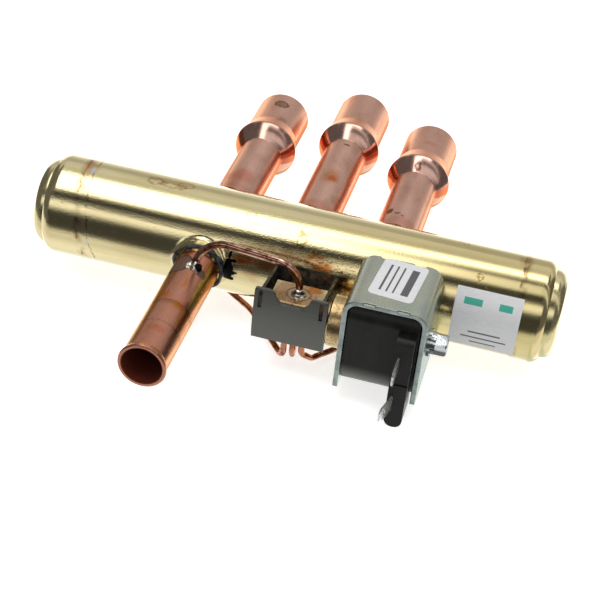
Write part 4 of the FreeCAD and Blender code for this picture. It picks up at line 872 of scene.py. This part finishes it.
# The right leg's outer face carries a painted reflection: dark at its top, turning pale towards its foot.
right_leg = times(tree, fade(tree, point_x, middle.x + 59 * mm, middle.x + 62.5 * mm),
                  fade(tree, point_z, middle.z + 20 * mm, middle.z + 15 * mm))
painted_leg_reflection = two_tone(tree, point_z, middle.z + 12 * mm, middle.z + mm, leg_top_painted_shade, leg_foot_painted_light)
colour = over(tree, right_leg, colour, painted_leg_reflection)
front_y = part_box("coil_frame")[0].y
front_edge = fade(tree, point_y, front_y + 0.5 * mm, front_y + 0.3 * mm)
torn = two_tone(tree, grain(tree, point, 1.4, (3, 1, 3), 3.0), 0.35, 0.7, sheared_light, sheared_dark)
colour = over(tree, times(tree, front_edge, 0.8), colour, torn)
connect(tree, shader, Base_Color=colour, Roughness=plus(tree, times(tree, fine, 0.16), 0.2))
raise_surface(tree, shader, plus(tree, times(tree, fine, 0.6), lines), 0.003)
strip = add_piece(softened("coil_frame", 0.45, 3), "rounded_coil_frame", zinc_finish)
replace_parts(even_faces(strip), "coil_frame")

# Coil screw and washers: a bright zinc-plated hexagon screw with a plain and a lock washer.
# The forging leaves round corners that catch the light, and the lower half is painted dark as a reflection.
zinc_bright = shade(220, 222, 224)
zinc_worn = shade(176, 178, 176)
painted_dark_reflection = shade(66, 68, 72)
screw_finish, tree, shader, point = start_finish("bright_zinc", shade(206, 208, 210), 0.1, 1.0)
fine = grain(tree, point, 0.5, detail=3.0)
colour = two_tone(tree, fine, 0.45, 0.75, zinc_bright, zinc_worn)
# Painted dark reflection over the lower half of the screw and washers.
lower_half = fade(tree, split(tree, point)[2], middle.z + 1.6 * mm, middle.z + 0.6 * mm)
connect(tree, shader, Base_Color=over(tree, times(tree, lower_half, 0.85), colour, painted_dark_reflection))
raise_surface(tree, shader, fine, 0.04)
screw = add_piece(softened("coil_screw", 0.3, 3), "rounded_coil_screw", screw_finish)
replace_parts(even_faces(screw), "coil_screw")
dress(screw_finish, "screw_washer", "lock_washer")

# Coil: the winding's black moulding, with a round-edged ridge that carries the two tabs.
# It is a dark filled plastic with a satin skin and faint flow marks; the drum's lower edge is painted lighter
# as a reflection of the floor.
moulding_dark = shade(19, 18, 17)
moulding_light = shade(29, 28, 26)
painted_floor_reflection = shade(128, 128, 124)
coil_finish, tree, shader, point = start_finish("black_moulding", shade(20, 19, 18), 0.4)
shader.inputs["Specular IOR Level"].default_value = 0.32
flow = grain(tree, point, 6, (1, 1, 2.5), 4.0)
colour = two_tone(tree, flow, 0.4, 0.7, moulding_dark, moulding_light)
point_x, _, point_z = split(tree, point)
# Painted reflection of the floor: the drum turns lighter towards its lower edge.
on_drum = fade(tree, point_x, middle.x + 52.6 * mm, middle.x + 52.1 * mm)
low_edge = times(tree, fade(tree, point_z, middle.z - 6 * mm, middle.z - 12.5 * mm), on_drum)
colour = over(tree, times(tree, low_edge, 0.9), colour, painted_floor_reflection)
connect(tree, shader, Base_Color=colour, Roughness=plus(tree, times(tree, flow, 0.2), 0.28))
raise_surface(tree, shader, grain(tree, point, 0.25, detail=2.0), 0.01)
moulding = add_piece(softened("coil", 0.35, 2), "rounded_coil", coil_finish)
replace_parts(even_faces(moulding), "coil")

# Spade tabs: two blades stamped from brass sheet and tin-plated bright.
# They stand in the ridge of the moulding, one above the other.
tin_bright = shade(238, 237, 232)
tin_worn = shade(176, 170, 156)
tab_finish, tree, shader, point = start_finish("tin_plate", shade(236, 235, 230), 0.22, 0.8)
fine = grain(tree, point, 0.8, (1, 3, 1), 3.0)
connect(tree, shader, Base_Color=two_tone(tree, fine, 0.4, 0.7, tin_bright, tin_worn))
raise_surface(tree, shader, fine, 0.02)
dress(tab_finish, "upper_terminal", "lower_terminal")


# Labels: silver foil, one glued on the coil frame and one on the body.
# Each carries only a few plain bars of colour.
foil_light = shade(230, 230, 231)
foil_dark = shade(220, 220, 222)
bar_blur = 0.1


def start_label(name, centre, turn, bars):
    """Foil with plain bars, each given by its middle, its half size and its colour on the label's own axes."""
    finish, tree, shader, point = start_finish(name, shade(224, 225, 226), 0.42, 0.15)
    away = node(tree, "VectorMath", {0: point, 1: place(*centre)}, operation="SUBTRACT").outputs[0]
    inputs = {"Vector": away, "Axis": (0, 0, 1), "Angle": math.radians(turn)}
    flat = split(tree, node(tree, "VectorRotate", inputs).outputs[0])
    fine = grain(tree, point, 0.3, (8, 1, 1), 3.0)
    colour = two_tone(tree, fine, 0.4, 0.7, foil_light, foil_dark)
    for (u, v), (half_u, half_v), axis, tint in bars:
        from_u = calc(tree, "ABSOLUTE", less(tree, flat[0], u * mm))
        from_v = calc(tree, "ABSOLUTE", less(tree, flat[axis], v * mm))
        inside_u = fade(tree, from_u, (half_u + bar_blur) * mm, half_u * mm)
        inside_v = fade(tree, from_v, (half_v + bar_blur) * mm, half_v * mm)
        colour = over(tree, times(tree, inside_u, inside_v), colour, tint)
    connect(tree, shader, Base_Color=colour)
    raise_surface(tree, shader, grain(tree, point, 6, detail=1.0), 0.02)
    return finish


ink = shade(92, 92, 94)
teal = shade(72, 176, 156)
# The coil's label lies flat, so its bars run along Y (axis 1); the body's stands, so its bars rise along Z.
coil_bars = [((-5.0, 0.0), (0.4, 9.0), 1, ink), ((-2.4, 0.0), (0.3, 9.0), 1, ink),
             ((0.2, 0.0), (0.3, 9.0), 1, ink), ((4.6, 0.0), (1.4, 9.0), 1, ink)]
body_bars = [((-6.0, 9.0), (3.6, 1.2), 2, teal), ((7.0, 9.0), (2.6, 1.2), 2, teal),
             ((0.5, -3.6), (6.4, 0.32), 2, ink), ((0.5, -6.4), (9.0, 0.32), 2, ink),
             ((0.5, -9.2), (5.2, 0.32), 2, ink)]
dress(start_label("coil_foil", (46.9, -35.6, 23.7), 5.0, coil_bars), "coil_label")
dress(start_label("body_foil", (81.1, -20.0, 1.0), 0.0, body_bars), "body_label")


# Inside the body: the brass seat and pistons, the plastic cup slide and seals, the steel bridge.
# They are turned, milled or moulded pieces, clean and lightly oiled.
def plain_finish(name, colour, roughness, metallic, size, light, dark):
    """A clean material with a faint cloud of two tones in it."""
    finish, tree, shader, point = start_finish(name, colour, roughness, metallic)
    connect(tree, shader, Base_Color=two_tone(tree, grain(tree, point, size), 0.4, 0.7, light, dark))
    return finish


inner_brass = plain_finish("inner_brass", brass_light, 0.3, 1.0, 3, brass_light, brass_deep)
inner_steel = plain_finish("inner_steel", shade(176, 178, 180), 0.3, 1.0, 2,
                           shade(180, 182, 184), shade(146, 148, 150))
ivory_plastic = plain_finish("ivory_plastic", shade(226, 218, 196), 0.45, 0.0, 2,
                             shade(228, 220, 198), shade(210, 200, 176))
brown_seal = plain_finish("brown_seal", shade(112, 84, 60), 0.5, 0.0, 2,
                          shade(116, 88, 64), shade(92, 66, 46))
dress(inner_brass, "valve_seat", "left_piston", "right_piston", "piston_rivets", "pilot_seat", "pilot_carrier")
dress(inner_steel, "piston_bridge", "bridge_screws", "left_retainer", "right_retainer", "left_cup_spring",
      "right_cup_spring", "slide_leaf", "plunger", "fixed_core", "enclosing_tube")
dress(ivory_plastic, "main_slide", "pilot_slide")
dress(brown_seal, "left_piston_cup", "right_piston_cup")

# Winding: enamelled copper wire wound in the coil's moulding, with its two leads to the tabs.
# Its turns show as fine rings round the coil's axis.
winding_light = shade(190, 104, 62)
winding_dark = shade(120, 58, 34)
winding_finish, tree, shader, point = start_finish("winding_copper", shade(184, 98, 58), 0.35, 1.0)
turns = grain(tree, point, 0.3, (1, 30, 30), 1.0)
connect(tree, shader, Base_Color=over(tree, turns, winding_light, winding_dark))
dress(winding_finish, "coil_winding", "winding_leads")

# Return spring: wound from stainless wire, it stands between the floor of the plunger's pocket and the
# fixed core. The plunger squeezes it by its whole stroke when the coil is on.
form = bmesh.new()
form.from_mesh(nodes["return_spring"].data)
bmesh.ops.remove_doubles(form, verts=form.verts, dist=1e-6)
bmesh.ops.recalc_face_normals(form, faces=form.faces)
spring = add_piece(form, "wound_return_spring", inner_steel)
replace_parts(spring, "return_spring")
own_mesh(spring)
